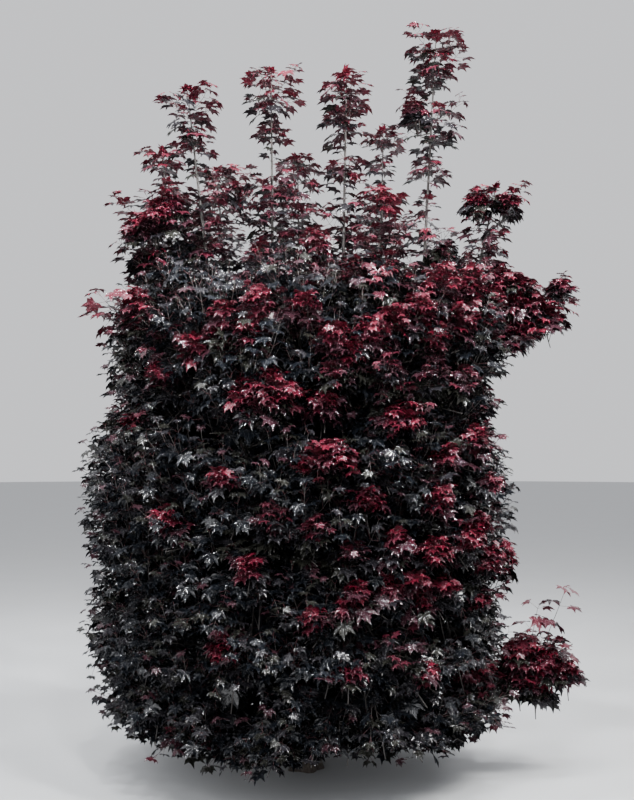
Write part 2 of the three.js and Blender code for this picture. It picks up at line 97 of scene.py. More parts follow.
# The upright leaders and the two arms on the right, in millimetres, as in the solids: the fork
# on the trunk, the bough's end, the stem's tip, and each whorl's height, reach and half depth
LEADERS = (
    ("tall_leader", 930, (790, 90, 2950), (905, 100, 4960),
     ((4810, 250, 260), (4340, 310, 190), (3990, 150, 140), (3480, 300, 260))),
    ("centre_leader", 1900, (240, -420, 2950), (270, -450, 4500),
     ((4420, 210, 160), (4175, 200, 100), (3850, 170, 110), (3480, 230, 220))),
    ("left_centre_leader", 2350, (-220, 60, 2980), (-235, 50, 4680),
     ((4560, 260, 210), (4260, 130, 90), (3700, 240, 330))),
    ("left_leader", 1480, (-590, -320, 2950), (-760, -350, 4420),
     ((4330, 240, 170), (4070, 170, 110), (3560, 240, 260))),
    ("left_outer_leader", 1090, (-920, 280, 2950), (-1010, 300, 4190),
     ((4150, 190, 110), (3720, 250, 290))),
    ("right_centre_leader", 1620, (540, 600, 2950), (570, 650, 4430),
     ((4390, 170, 110), (4170, 120, 120), (3720, 230, 290))),
    ("right_leader", 700, (1080, -150, 2980), (1265, -150, 3820),
     ((3780, 250, 120), (3480, 190, 180))),
    ("back_centre_leader", 2020, (-50, 740, 2950), (-65, 800, 4270),
     ((4230, 200, 110), (3750, 240, 320))),
    ("back_left_leader", 1350, (-590, 680, 2920), (-660, 750, 4180),
     ((4130, 220, 120), (3700, 250, 280))),
    ("front_right_leader", 1230, (420, -730, 2800), (480, -780, 3660),
     ((3620, 150, 110), (3300, 230, 200))),
    ("left_shoulder", 560, (-900, -250, 2620), (-985, -230, 3700),
     ((3630, 300, 140), (3230, 330, 260))),
    ("right_arm", 1000, (1080, -40, 2760), (1720, -20, 3240),
     ((2940, 300, 220), (3140, 280, 180))),
    ("lower_right_arm", 250, (1180, -160, 520), (1740, -230, 860),
     ((660, 240, 170), (800, 230, 190))),
)
# The tiers of the body, in millimetres: middle height, axis, reach, half height, the bearing of
# the first mass, the height of its fork and the masses
TIERS = (
    ("lower", 850, (-30, 0), 1400, 680, 0, 240,
     ("right", "back_right", "back_left", "front_left", "front_right")),
    ("middle", 1850, (-60, 0), 1430, 680, 36, 800,
     ("right_back", "back", "left", "front", "right_front")),
    ("upper", 2790, (20, 0), 1360, 660, 0, 1750,
     ("right", "back_right", "back_left", "front_left", "front_right")),
)
CROWN_DEPTH_SHARE = 0.94
MASS_HALF_DEPTH = 0.5
MASS_HALF_WIDTH = 0.86
MASS_FOOT_RADIUS = 0.33
MASS_FOOT_DROP = 0.33
STEM_TIP_SHARE = 0.62
STEM_OUT_SHARE = 0.33
FORK_SPACING = 75
FORK_STRIDE = 2
CENTRE_HEIGHT = 0.78
CENTRE_HALF_SIZES = (0.5, 0.5, 0.42)
WHORL_CORE = 0.5
TWIG_RISE = 0.75
LOWEST_TWIG = 0.12
LOWEST_TWIG_FROM_TRUNK = 0.3
HIGHEST_TWIG = 0.95
GROUND_CLEARANCE = 0.07

# The crimson caps of young shoots on the side towards the viewer: the middle and the half width
CAPS = (
    (-0.23, -1.25, 2.50, 0.24), (0.13, -1.25, 2.47, 0.11), (0.15, -1.33, 2.11, 0.20),
    (0.40, -1.29, 1.90, 0.11), (-0.49, -1.26, 2.04, 0.08), (-0.68, -1.11, 2.79, 0.11),
    (0.60, -1.14, 2.35, 0.16), (1.10, -0.80, 2.24, 0.12), (0.88, -1.04, 2.15, 0.09),
    (0.18, -1.27, 2.85, 0.11), (0.01, -1.27, 3.04, 0.09), (-0.48, -1.19, 2.98, 0.10),
    (-0.29, -1.24, 3.06, 0.11), (-0.33, -1.24, 2.88, 0.12), (-0.52, -1.18, 2.87, 0.06),
    (-1.09, -0.75, 3.06, 0.15), (-0.93, -0.93, 2.65, 0.07), (-1.12, -0.72, 2.35, 0.08),
    (1.22, -0.71, 2.00, 0.08), (0.83, -1.10, 1.91, 0.11), (0.57, -1.23, 1.68, 0.07),
    (1.11, -0.84, 1.74, 0.09), (0.81, -1.10, 1.58, 0.13), (1.04, -0.91, 1.65, 0.12),
    (1.19, -0.70, 1.51, 0.14), (1.36, -0.30, 1.50, 0.12), (1.13, -0.71, 1.26, 0.07),
    (0.51, -1.20, 1.41, 0.07), (0.73, -1.06, 1.30, 0.06), (0.76, -1.11, 0.89, 0.06),
    (-0.85, -1.08, 1.78, 0.10), (-0.33, -1.29, 1.55, 0.06), (-0.47, -1.24, 1.05, 0.11),
    (0.06, -1.28, 1.26, 0.06), (0.31, -1.26, 1.40, 0.07), (0.25, -1.24, 1.30, 0.06),
    (0.27, -1.29, 0.95, 0.07), (0.29, -1.25, 2.75, 0.09), (0.41, -1.22, 2.85, 0.12),
    (0.54, -1.17, 2.93, 0.13), (0.71, -1.09, 2.99, 0.15), (0.87, -0.94, 3.18, 0.15),
    (1.07, -0.73, 3.19, 0.15), (1.28, -0.30, 3.14, 0.15), (0.80, -1.03, 2.84, 0.14),
    (1.00, -0.86, 2.97, 0.15), (1.21, -0.53, 2.97, 0.15),
)
# More of them, also dusky ones, by the limb or mass: the middle, the half width and the flush
LIMB_CAPS = {
    "right_arm": (
        (1.42, -0.20, 3.15, 0.14, 0.9), (1.61, -0.10, 3.13, 0.14, 0.9),
        (1.80, -0.02, 3.27, 0.11, 0.9), (1.49, -0.15, 3.00, 0.14, 0.5),
        (1.32, -0.20, 2.92, 0.15, 0.5), (1.42, 0.16, 3.08, 0.14, 0.7),
        (1.60, 0.10, 3.02, 0.10, 0.3), (1.27, -0.25, 3.30, 0.13, 0.9),
        (1.47, -0.14, 3.29, 0.11, 0.9), (1.72, -0.10, 3.05, 0.10, 0.5)),
    "lower_right_arm": (
        (1.45, -0.30, 0.87, 0.17, 0.9), (1.64, -0.30, 0.80, 0.15, 0.9),
        (1.78, -0.28, 0.75, 0.09, 0.9), (1.38, -0.32, 0.68, 0.17, 0.2),
        (1.57, -0.26, 0.62, 0.15, 0.2), (1.40, -0.08, 0.80, 0.16, 0.3)),
    "left_shoulder": (
        (-1.10, -0.45, 3.62, 0.15, 0.9), (-0.96, -0.52, 3.66, 0.13, 0.9),
        (-0.83, -0.44, 3.76, 0.14, 0.9), (-1.10, -0.10, 3.44, 0.14, 0.2)),
    "centre_mass": ((0.08, -0.60, 3.49, 0.12, 0.9),),
    "left_centre_leader": ((-0.31, -0.30, 3.50, 0.08, 0.9),),
    "centre_leader": ((0.36, -0.70, 3.30, 0.11, 0.5),),
    "tall_leader": (
        (0.68, 0.06, 4.52, 0.10, 0.7), (1.01, -0.05, 3.53, 0.11, 0.3),
        (1.03, -0.02, 3.37, 0.12, 0.3)),
    "right_leader": ((1.08, -0.22, 3.83, 0.10, 0.9), (1.40, -0.22, 3.82, 0.10, 0.9)),
    "back_left_leader": ((-0.46, 0.62, 4.09, 0.10, 0.5),),
    "back_centre_leader": ((-0.23, 0.74, 4.13, 0.10, 0.7),),
    "upper_front_right_mass": (
        (0.16, -1.30, 2.62, 0.11, 0.2), (0.50, -1.22, 2.63, 0.13, 0.2),
        (0.80, -1.06, 2.62, 0.13, 0.3), (1.03, -0.84, 2.59, 0.12, 0.3)),
    "middle_front_mass": (
        (-0.15, -1.31, 1.80, 0.13, 0.2), (0.12, -1.31, 1.72, 0.13, 0.2),
        (0.33, -1.27, 1.60, 0.12, 0.2)),
    "middle_right_front_mass": (
        (0.66, -1.16, 1.43, 0.12, 0.5), (0.86, -1.03, 1.38, 0.11, 0.5)),
}
# Single shoots that stand free, with a few large leaves: foot and tip
FREE_SHOOTS = (
    ((1.50, -0.30, 0.80), (1.67, -0.32, 1.21)), ((1.44, -0.26, 0.80), (1.50, -0.30, 1.10)),
    ((-1.08, -0.70, 2.92), (-1.24, -0.76, 3.06)), ((-1.10, -0.62, 2.90), (-1.30, -0.60, 2.98)),
)
FREE_SAG = 0.03
FREE_RADII = (0.0030, 0.0015)
FREE_PAIR_SHARES = (1.0, 0.78, 0.5)
FREE_AGE = 0.7
# Caps: how far below and inside its place a cap starts, its dome, the ground that a shoot
# takes, and the half widths of those that chance puts up
CAP_SINK = 0.07
CAP_INSET = 0.08
CAP_CLEARING = 0.08
CAP_DOME = 0.12
CAP_FULL_RADIUS = 0.15
CAP_MARGIN = 0.045
CAP_SHOOT_ROOM = 0.0019
CAP_PAIR_SHARES = (1.0, 0.9, 0.79, 0.66, 0.48)
CHANCE_CAPS = (0.09, 0.2)
# A cap of more than this half width takes the place of the layer's sprays there
WIDE_CAP = 0.1
# How far the spray beside a cap drops below it
CAP_SPRAY_DROP = 0.12

# Sprays: how many a mass is offered in its outer and inner layer, and the top of the crown
OUTER_SPRAYS = 36
INNER_SPRAYS = 18
TOP_SPRAYS = 56
TOP_RADIUS = 1.2
TOP_START = 2.95
TOP_DROP = 0.3
OPEN_HEIGHT = 3.0
OPEN_SHARE = 0.35
LOWEST_SPRAY = 0.34
GAP_HEIGHTS = (LOWEST_SPRAY, 2.98)
GAP_AXIS = -0.03
GAP_REACH = 1.28
GAP_FLUSH_SHARE = 0.3
# Rows, steps round the crown and the least distance of the sprays that close a layer's gaps
OUTER_GAPS = (18, 44, 0.18)
INNER_GAPS = (11, 26, 0.25)
CORE_GAPS = (10, 11, 0.25)
BEARING_SPAN = math.radians(44)
INNER_SHARE = 0.7
CORE_SHARE = 0.45
SPRAY_SHOOTS = 7
INNER_SHOOTS = 5
SPRAY_RADIUS = 0.2
SPRAY_DEPTH_SHARE = 0.75
SPRAY_DOME = 0.10
SPRAY_LEAN = 0.35
SPRAY_UNEVEN = 0.025
SPRAY_SINK = 0.18
UNEVEN = (-0.03, 0.11)
SPRAY_SIZES = (0.85, 1.2)
TOP_SPRAY_SIZES = (0.9, 1.2)
# A twig: the steps on the stem that it may start from, what a longer way counts against a
# start, and where the twig turns upwards, as shares of its way out and up
TWIG_STARTS = 12
TWIG_WAY_COST = 0.3
TWIG_KNEE = (0.8, 0.75)
# Where the lowest shoot of a spray leaves its twig, as a share back from the twig's end, and
# its knee, as shares of its way out and up
SHOOT_START = 0.42
SHOOT_KNEE = (0.6, 0.3)
# Radii at the foot and at the tip
TWIG_RADII = (0.0060, 0.0030)
SHOOT_RADII = (0.0027, 0.0013)
SIDE_SHOOT_RADII = (0.0026, 0.0013)
STALK_RADII = (0.0013, 0.0009)
# Where the pairs of leaves sit on a shoot, from its tip down
PAIR_SHARES = (1.0, 0.84, 0.66, 0.46)

# Leaders: the pairs up the stem, where an arm differs from an upright one, and the side shoots
NODE_SPACING = 0.047
LOWER_NODE_SPACING = 0.06
ARM_STEEPNESS = 0.85
HIGHEST_NODE = 0.985
HIGHEST_ARM_NODE = 0.85
WIDEST_NODE = 0.6
SIDE_SHOOT_ROOM = 0.065
SHORT_SIDE_SHOOT = 0.05
LONG_SIDE_SHOOT = 0.1
SIDE_SHOOT_AGE = 0.3
TIP_LEAVES = 6

# Flush, from 0 for grown leaves to 1 for new ones. Above full flush, sprays carry caps
FULL_FLUSH = 0.8
CAP_FLUSH = 0.9
PART_FLUSH = 0.3
DULL_FLUSH = 0.2
# The chance that a spray is in flush: anywhere, more at the top and more on the right
FLUSH_CHANCES = (0.06, 0.22, 0.12)
# The height and the x where that begins, and the way over which it grows
FLUSH_TOP = (2.3, 0.7)
FLUSH_RIGHT = (-0.2, 1.3)
# A spray that looks this far towards the viewer is on the side of the placed caps
VIEWER_SIDE = -0.35

# Shares of the leaf's length: angle from the midrib, in degrees, and distance from the stalk
LEAF_OUTLINE = ((0, 1.0), (10, 0.72), (17, 0.76), (28, 0.55), (40, 0.70), (47, 0.97),
                (58, 0.70), (76, 0.50), (102, 0.66), (122, 0.42), (152, 0.20))
LOBE_TIPS = (0, 5, 8)
NOTCHES = (3, 7)
INNER_OUTLINE = ((0, 1.0), (17, 0.76), (28, 0.55), (47, 0.95), (76, 0.50), (102, 0.66),
                 (145, 0.24))
INNER_LOBE_TIPS = (0, 3, 5)
INNER_NOTCHES = (2, 4)
FOLD = 0.14
NOTCH_FOLD_SHARE = 0.4
ROLL = 0.5
LEADER_ROLL = 0.3
LEADER_LEVEL = math.radians(12)
LEADER_LEAF_SHARE = 0.97
VEIN_TURNS = (0.0, math.radians(47), math.radians(102))
# Degrees that the stalk rises and the blade hangs, young and grown, and what chance adds
STALK_RISE = (60, 22)
STALK_RISE_CHANCE = (-14, 14)
BLADE_HANG = (15, 26)
BLADE_HANG_CHANCE = (-26, 30)
INNER_BLADE_HANG = (35, 75)
# Chance in the lengths, as shares, and how far a blade droops towards its tip
STALK_SHARES = (0.6, 1.15)
LEAF_SHARES = (0.78, 1.18)
INNER_LEAF_SHARES = (0.85, 1.1)
DROOP = (0.08, 0.36)
# How far a leaf may pass the solids' box
LEAF_ROOM = 0.012
MOST_TRIANGLES = 190_000

# The gloss of a leaf: level and tint of its own, weight of its clear coat, least roughness
YOUNG_GLOSS = (0.3, (1.0, 0.75, 0.82, 1.0), 0.35, 0.24)
GROWN_GLOSS = (0.18, (1.0, 0.98, 1.0, 1.0), 0.24, 0.13)

# Sides and rings of the meshes of bark
TRUNK_MESH = (48, 150)
BOUGH_MESH = (14, 34)

CAMERA_PLACE = (0.08, -7.5, 2.15)
CAMERA_TILT = math.radians(92.32)
CAMERA_LENS = 50
WORLD_COLOUR = (0.9, 0.907, 0.94, 1)
COOL = (0.97, 0.98, 1.0)
# The height on the tree's axis that the lights look at, unless they have their own
AIM = 2.4
# Large soft lights: name, place, size, power and colour, for one also its own aim and its beam
LIGHTS = (
    ("key_light", (5.5, -5.0, 9.5), 2.4, 1150, (1.0, 0.985, 0.96)),
    ("sky_light", (-3.0, -2.2, 9.6), 5.0, 380, COOL),
    ("fill_light", (-5.0, -8.5, 5.0), 8.0, 820, COOL),
    ("right_rim_light", (7.2, 4.2, 8.2), 3.0, 250, (1.0, 1.0, 1.0)),
    ("left_rim_light", (-7.2, 4.2, 8.2), 3.0, 60, (0.95, 0.98, 1.0)),
    ("head_light", (1.0, -9.0, 2.6), 2.0, 30, (1.0, 0.985, 0.97), 4.5, math.radians(24)),
)
# Small soft lamps in rows over the viewer: elevation in degrees and how many, then how far they
# spread, in degrees, and their power, from the left lamp of a row to the right one
LAMP_ROWS = ((33, 3), (49, 5), (66, 4))
LAMP_SPREAD = (-66, 82)
LAMP_POWER = (42, 68)
LAMP_DISTANCE = 10.5
LAMP_SIZE = 0.45
LAMP_BEAM = math.radians(44)
LAMP_AIM = 3.8

# The colours of the leaves, the young ones first. The first is the young leaves' own bright
# crimson, made brighter still by painted glow that stands in for light shining through them
SHADES = ("cherry", "crimson", "wine", "plum", "purple", "night", "bronze")
YOUNG_SHADES = SHADES[:3]
# The colours of a shoot's pairs from its tip down, three to draw from, by the least flush
SHADE_STEPS = (
    # The top row is reached only by the leaders' top whorls, with their side shoots and tip
    # leaves. It deals out the most of the brightest red: the young leaves' own crimson plus
    # painted glow of light through the leaves of the heads
    (0.95, ("cherry cherry crimson", "cherry cherry crimson", "cherry crimson wine",
            "wine wine plum")),
    (0.8, ("cherry crimson crimson", "cherry crimson wine", "crimson wine wine",
           "wine plum plum", "plum purple bronze")),
    (0.4, ("cherry crimson wine", "crimson wine wine", "wine plum plum",
           "plum purple purple")),
    (0.15, ("wine wine plum", "wine plum purple", "plum purple bronze",
            "purple bronze bronze")),
    (-1.0, ("plum purple bronze", "purple night bronze", "night purple night",
            "night night night")),
)
SHADE_SHARES = (0.28, 0.72)

Leaf = namedtuple("Leaf", "foot tip along side length droop shade inner")


def colour_property(name, default):
    """A colour that a user can change."""
    return bpy.props.FloatVectorProperty(
        name=name, description=f"Base colour: {name.lower()}", subtype="COLOR", size=3,
        min=0, max=1, default=default)


def length_property(name, description, default):
    """A length that a user can change."""
    return bpy.props.FloatProperty(name=name, description=description, default=default,
                                   unit="LENGTH")


class MapleSizes(bpy.types.PropertyGroup):
    """Sizes that a user would change."""
    foot_radius: length_property("Trunk foot", "Radius of the trunk above its flare", 0.078)
    tip_radius: length_property("Trunk tip", "Radius of the trunk at its tip", 0.025)
    flare_radius: length_property("Root flare", "How far the root flare stands out", 0.042)
    flare_height: length_property("Flare height", "How fast the flare dies away upwards", 0.13)
    bark_relief: length_property("Bark relief", "Depth of the furrows in the bark", 0.0035)
    leaf_length: length_property("Leaf length", "From the stalk to the tip of a grown leaf",
                                 0.086)
    young_leaf_length: length_property("Young leaf length",
                                       "From the stalk to the tip of a young leaf", 0.043)
    inner_leaf_length: length_property("Inner leaf length",
                                       "From the stalk to the tip of an old inner leaf", 0.105)
    stalk_length: length_property("Stalk length", "Stalk of a grown leaf", 0.085)
    young_stalk_length: length_property("Young stalk length", "Stalk of a young leaf", 0.04)


class MapleColours(bpy.types.PropertyGroup):
    """Colours that a user would change."""
    # Young leaves' own crimson, brightened with painted glow that stands in for light shining
    # through them
    cherry: colour_property("Cherry leaves", (0.08, 0.003, 0.0115))
    crimson: colour_property("Crimson leaves", (0.06, 0.003, 0.01))
    wine: colour_property("Wine leaves", (0.043, 0.0045, 0.0105))
    plum: colour_property("Plum leaves", (0.024, 0.008, 0.012))
    purple: colour_property("Dark purple leaves", (0.0090, 0.0082, 0.0100))
    night: colour_property("Blackish leaves", (0.0042, 0.0052, 0.0072))
    bronze: colour_property("Bronze leaves", (0.010, 0.010, 0.008))
    bark: colour_property("Bark", (0.16, 0.13, 0.105))
    furrow: colour_property("Bark furrows", (0.045, 0.035, 0.028))
    twig: colour_property("Twigs", (0.03, 0.026, 0.024))
    stalk: colour_property("Leaf stalks", (0.05, 0.010, 0.013))
    floor: colour_property("Floor", (0.48, 0.49, 0.50))


# ---- Curves and spaces ----


def bezier(points, share):
    """The point of a Bezier curve at a share of its parameter."""
    while len(points) > 1:
        points = [a.lerp(b, share) for a, b in zip(points, points[1:])]
    return points[0]


class Curve:
    """A Bezier curve that is walked by its length."""

    def __init__(self, *controls, steps=48):
        self.line = [bezier(controls, i / steps) for i in range(steps + 1)]
        gone = np.cumsum([0] + [(b - a).length for a, b in zip(self.line, self.line[1:])])
        self.length = float(gone[-1])
        self.shares = gone / gone[-1]

    def at(self, share):
        """The point at a share of the curve's length."""
        i = int(np.searchsorted(self.shares, share, side="right")) - 1
        i = max(0, min(i, len(self.line) - 2))
        step = (share - self.shares[i]) / (self.shares[i + 1] - self.shares[i])
        return self.line[i].lerp(self.line[i + 1], float(step))

    def spaced(self, steps):
        """Points at equal steps along the curve, with both ends."""
        return [self.at(k / steps) for k in range(steps + 1)]

    def heading(self, share):
        """The unit way that the curve runs at a share of its length."""
        near = 0.01
        return (self.at(min(1, share + near)) - self.at(max(0, share - near))).normalized()


def seeded(seed):
    """Small seeded generator of numbers from 0 to 1, as in the solids."""
    state = seed
    while True:
        state = (state * 1664525 + 1013904223) & 0xFFFFFFFF
        yield state / 4294967296


def trunk_point(height):
    """The trunk's axis: upright, with a slight sway."""
    share = height / TRUNK_HEIGHT
    sway = TRUNK_SWAY * math.sin(math.pi * share)
    turn = TRUNK_WINDING * share
    return Vector((sway * math.cos(turn), sway * math.sin(turn), height))


class Space:
    """A rounded room for foliage, turned about the vertical."""

    def __init__(self, middle, half, bearing=0.0):
        self.middle = middle
        self.half = half
        self.bearing = bearing

    def fill(self, point):
        """How far out a point is: below 1 inside, 1 on the surface."""
        local = point - self.middle
        c, s = math.cos(self.bearing), math.sin(self.bearing)
        shares = (local.x * c + local.y * s, local.y * c - local.x * s, local.z)
        return sum(abs(a / b) ** FULLNESS for a, b in zip(shares, self.half))

    def way_out(self, start, way):
        """The way left from a point inside to the surface."""
        inside, outside = 0.0, 2 * max(self.half)
        while outside - inside > 0.001:
            middle = (inside + outside) / 2
            if self.fill(start + way * middle) < 1:
                inside = middle
            else:
                outside = middle
        return inside


class Mass:
    """A mass of foliage: its own stem, the spaces it fills and the bough that bears it."""

    def __init__(self, name, fork, foot, top, heading, spaces, dense, foot_radius=None):
        self.name = name
        self.foot = foot
        self.spaces = spaces
        self.dense = dense
        start = foot or trunk_point(fork)
        self.radii = (foot_radius or (BOUGH_RADII[1] if foot else SHORT_BOUGH_RADIUS),
                      STEM_TIP_RADIUS)
        self.stem = Curve(start, start + heading * ((top - start).length / 2), top)
        self.bough = None
        if foot and fork:
            self.bough = self.bough_curve(trunk_point(fork), foot, heading)

    @staticmethod
    def bough_curve(fork, foot, heading):
        """The bough leaves the trunk at the fork angle and arrives along the mass's stem."""
        span = (foot - fork).length
        leave = (foot - fork).xy.normalized().to_3d() * math.sin(FORK_ANGLE)
        leave.z = math.cos(FORK_ANGLE)
        return Curve(fork, fork + leave * span * LEAVE_SHARE,
                     foot - heading * span * ARRIVE_SHARE, foot)


def leader_plan(name, fork, foot, top, whorls):
    """A leader's whorls sit on its straight stem."""
    foot, top = Vector(foot) * MM, Vector(top) * MM
    spaces = []
    for height, reach, depth in whorls:
        middle = foot.lerp(top, (height * MM - foot.z) / (top.z - foot.z))
        spaces.append(Space(middle, (reach * MM, reach * MM, depth * MM)))
    return Mass(name, fork * MM, foot, top, (top - foot).normalized(), spaces, False)


def body_plan(tier, i):
    """A body mass fills one space round a stem that leans outwards."""
    name, height, axis, reach, half_height, turn, fork, ways = tier
    bearing = math.radians(turn + i * 360 / len(ways))
    outward = crown_way(bearing)
    axis = Vector((*axis, height)) * MM
    middle = axis + outward * (reach * MM - MASS_HALF_DEPTH)
    foot = axis + outward * MASS_FOOT_RADIUS - UP * MASS_FOOT_DROP
    top = middle + outward * MASS_HALF_DEPTH * STEM_OUT_SHARE
    top += UP * half_height * MM * STEM_TIP_SHARE
    heading = outward * math.sin(FORK_ANGLE) + UP * math.cos(FORK_ANGLE)
    fork = (fork + FORK_SPACING * ((i * FORK_STRIDE) % len(ways))) * MM
    half = (MASS_HALF_DEPTH, MASS_HALF_WIDTH, half_height * MM)
    mass = Mass(f"{name}_{ways[i]}_mass", fork, None if name == "lower" else foot, top,
                heading.normalized(), [Space(middle, half, bearing)], True)
    mass.axis = axis
    return mass


def centre_plan(sizes):
    """The centre mass stands on the trunk's tip, with twigs all round."""
    foot = trunk_point(TRUNK_HEIGHT)
    top = foot + UP * CENTRE_HEIGHT
    return Mass("centre_mass", None, foot, top, UP, [Space(foot.lerp(top, 0.5),
                CENTRE_HALF_SIZES)], True, foot_radius=sizes.tip_radius)


# Heights count for less than widths where masses share out their room
SHORTEN = Vector((1, 1, CELL_HEIGHT_SHARE ** 2))


def give_cells(masses):
    """A mass's cell is the room nearer to its own middle than to any other's."""
    for mass in masses:
        lowest = min(space.middle.z - space.half[2] for space in mass.spaces)
        highest = max(space.middle.z + space.half[2] for space in mass.spaces)
        mass.middle = sum((space.middle for space in mass.spaces), Vector()) / len(mass.spaces)
        mass.middle.z = (lowest + highest) / 2
        mass.power = (mass.middle * SHORTEN).dot(mass.middle)
        mass.power -= (CELL_HEIGHT_SHARE * (highest - lowest) / 2) ** 2


def cell_of(masses, point):
    """The dense mass whose cell holds a point."""
    def distance(mass):
        return (point * SHORTEN).dot(point - 2 * mass.middle) + mass.power

    return min((mass for mass in masses if mass.dense), key=distance)


def around(tangent, turn):
    """A unit way square to a limb, at a turn round it."""
    side = Vector((math.cos(turn), math.sin(turn), 0))
    if abs(tangent.z) < STEEP:
        side = tangent.cross(UP).normalized() * math.cos(turn) + UP * math.sin(turn)
    return (side - tangent * side.dot(tangent)).normalized()


def over_ground(way):
    """The unit way over the ground below a way."""
    return way.xy.to_3d().normalized()


def crown_way(turn):
    """The way from the crown's axis at a bearing, shorter towards the front and the back."""
    return Vector((math.cos(turn), math.sin(turn) * CROWN_DEPTH_SHARE, 0))


def mix(a, b, share):
    """A number between two others."""
    return a + (b - a) * share


def clamped(share):
    """A number kept from 0 to 1."""
    return min(1.0, max(0.0, share))


# ---- Growth ----


class Growth:
    """Everything that grows on the limbs: twigs, shoots, stalks and leaves."""

    def __init__(self, sizes, seed=4):
        self.sizes = sizes
        self.random = np.random.default_rng(seed)
        self.stems = {"body": [], "leaders": []}
        self.twigs = []
        self.middles = {False: [], True: []}
        self.shoots = []
        self.leaves = []
        self.roll = ROLL
        self.level = 0.0
        self.leaf_share = 1.0

    def between(self, low, high):
        """A random number in a range."""
        return float(self.random.uniform(low, high))

    def leaf(self, foot, away, tangent, outward, age, shade, lift=0.0, inner=False):
        """A leaf whose stalk rises from the shoot and whose blade spreads from its end."""
        sizes = self.sizes
        rise = math.radians(mix(*STALK_RISE, age) + self.between(*STALK_RISE_CHANCE)) + lift
        stalk = mix(sizes.young_stalk_length, sizes.stalk_length, age)
        stalk *= self.between(*STALK_SHARES)
        length = mix(sizes.young_leaf_length, sizes.leaf_length, age)
        length *= self.between(*LEAF_SHARES)
        length *= self.leaf_share
        hang = math.radians(mix(*BLADE_HANG, age) + self.between(*BLADE_HANG_CHANCE))
        hang -= lift
        hang -= self.level
        if inner:
            length = sizes.inner_leaf_length * self.between(*INNER_LEAF_SHARES)
            hang = math.radians(self.between(*INNER_BLADE_HANG))
        tip = foot + (away * math.cos(rise) + tangent * math.sin(rise)) * stalk
        level = away.copy()
        level.z = 0
        level = (level.normalized() + outward * 0.5).normalized()
        along = (level * math.cos(hang) - UP * math.sin(hang)).normalized()
        over = UP + Vector([self.between(-self.roll, self.roll) for _ in "xy"] + [0])
        over += outward * 0.08
        side = over.cross(along).normalized()
        end = tip + along * length
        low, high = CAD_BOX
        inside = all(low[k] - LEAF_ROOM < end[k] < high[k] + LEAF_ROOM for k in range(3))
        if inside and min(end.z, tip.z) > GROUND_CLEARANCE:
            self.leaves.append(Leaf(foot, tip, along, side, length, self.between(*DROOP), shade,
                                    inner))

    def shoot(self, line, radii, outward, shares, flush, top_age=0.0, inner=False):
        """A shoot with crosswise pairs of leaves, youngest at its tip."""
        points = line.spaced(3)
        if min(point.z for point in points) < GROUND_CLEARANCE:
            return
        self.shoots.append((points, radii))
        spin = self.between(0, math.tau)
        for j, share in enumerate(shares):
            foot = line.at(share)
            tangent = line.heading(share)
            age = top_age + (j / (len(shares) - 1)) ** 1.3 + self.between(-0.1, 0.1)
            shade = "night" if inner else self.shade(flush, j)
            for opposite in (0, math.pi):
                turn = spin + j * math.pi / 2 + opposite + self.between(-0.3, 0.3)
                self.leaf(foot, around(tangent, turn), tangent, outward, clamped(age), shade,
                          inner=inner)
        if flush > DULL_FLUSH:
            self.leaf(line.at(1), around(line.heading(1), spin), line.heading(1), outward, 0.0,
                      self.shade(flush, 0), lift=math.radians(25))

    def shade(self, flush, pair):
        """The colour of a pair, by its place from the tip and its spray's flush."""
        draw = self.between(0, 1)
        steps = next(steps for least, steps in SHADE_STEPS if flush > least)
        choice = steps[min(pair, len(steps) - 1)].split()
        return choice[sum(draw >= share for share in SHADE_SHARES)]

    def spray(self, mass, centre, out, radius, flush, shoots=SPRAY_SHOOTS, dome=SPRAY_DOME,
              inner=False):
        """A twig from the mass's stem that ends in a low dome of upright shoots."""
        shoots = INNER_SHOOTS if inner else shoots
        lowest = LOWEST_TWIG if mass.foot else LOWEST_TWIG_FROM_TRUNK
        starts = [mass.stem.at(mix(lowest, HIGHEST_TWIG, k / TWIG_STARTS))
                  for k in range(TWIG_STARTS + 1)]

        def strain(start):
            away = (centre.xy - start.xy).length
            return abs(start.z + TWIG_RISE * away - centre.z) + TWIG_WAY_COST * away

        start = min(starts, key=strain)
        sunk = centre - UP * min(SPRAY_SINK, (centre.z - 0.2) * 0.5)
        below = start.lerp(sunk, TWIG_KNEE[0])
        below.z = mix(start.z, sunk.z, TWIG_KNEE[1])
        twig = Curve(start, start.lerp(below, 0.6), below, sunk, steps=12)
        if min(point.z for point in twig.line) < GROUND_CLEARANCE:
            return
        self.twigs.append((twig.spaced(5), TWIG_RADII))
        if flush < FULL_FLUSH:
            self.middles[inner].append(centre)
        side = UP.cross(out).normalized()
        axis = (UP + out * SPRAY_LEAN).normalized()
        ahead = axis.cross(side).normalized()
        spin = self.between(0, math.tau)
        for k in range(shoots):
            rim = math.sqrt((k + 0.5) / shoots)
            turn = spin + k * GOLDEN_TURN
            end = centre + side * radius * rim * math.cos(turn)
            end += ahead * radius * SPRAY_DEPTH_SHARE * rim * math.sin(turn)
            end += axis * (dome * (1 - rim * rim) + self.between(-SPRAY_UNEVEN, SPRAY_UNEVEN))
            begin = twig.at(1 - SHOOT_START * rim)
            knee = begin.lerp(end, SHOOT_KNEE[0])
            knee.z = mix(begin.z, end.z, SHOOT_KNEE[1])
            line = Curve(begin, knee, end, steps=8)
            outward = (out + (end - centre).normalized() * 0.4).normalized()
            pairs = CAP_PAIR_SHARES if flush > FULL_FLUSH else PAIR_SHARES
            self.shoot(line, SHOOT_RADII, outward, pairs, flush, inner=inner)

    def cap(self, mass, place, out, half_width, flush):
        """A dense dome of young shoots round a middle."""
        radius = max(0.03, half_width - CAP_MARGIN)
        shoots = 2 + round((radius + 0.03) ** 2 / CAP_SHOOT_ROOM)
        self.spray(mass, place - UP * CAP_SINK - out * CAP_INSET, out, radius, flush, shoots,
                   CAP_DOME * min(1.0, radius / CAP_FULL_RADIUS))

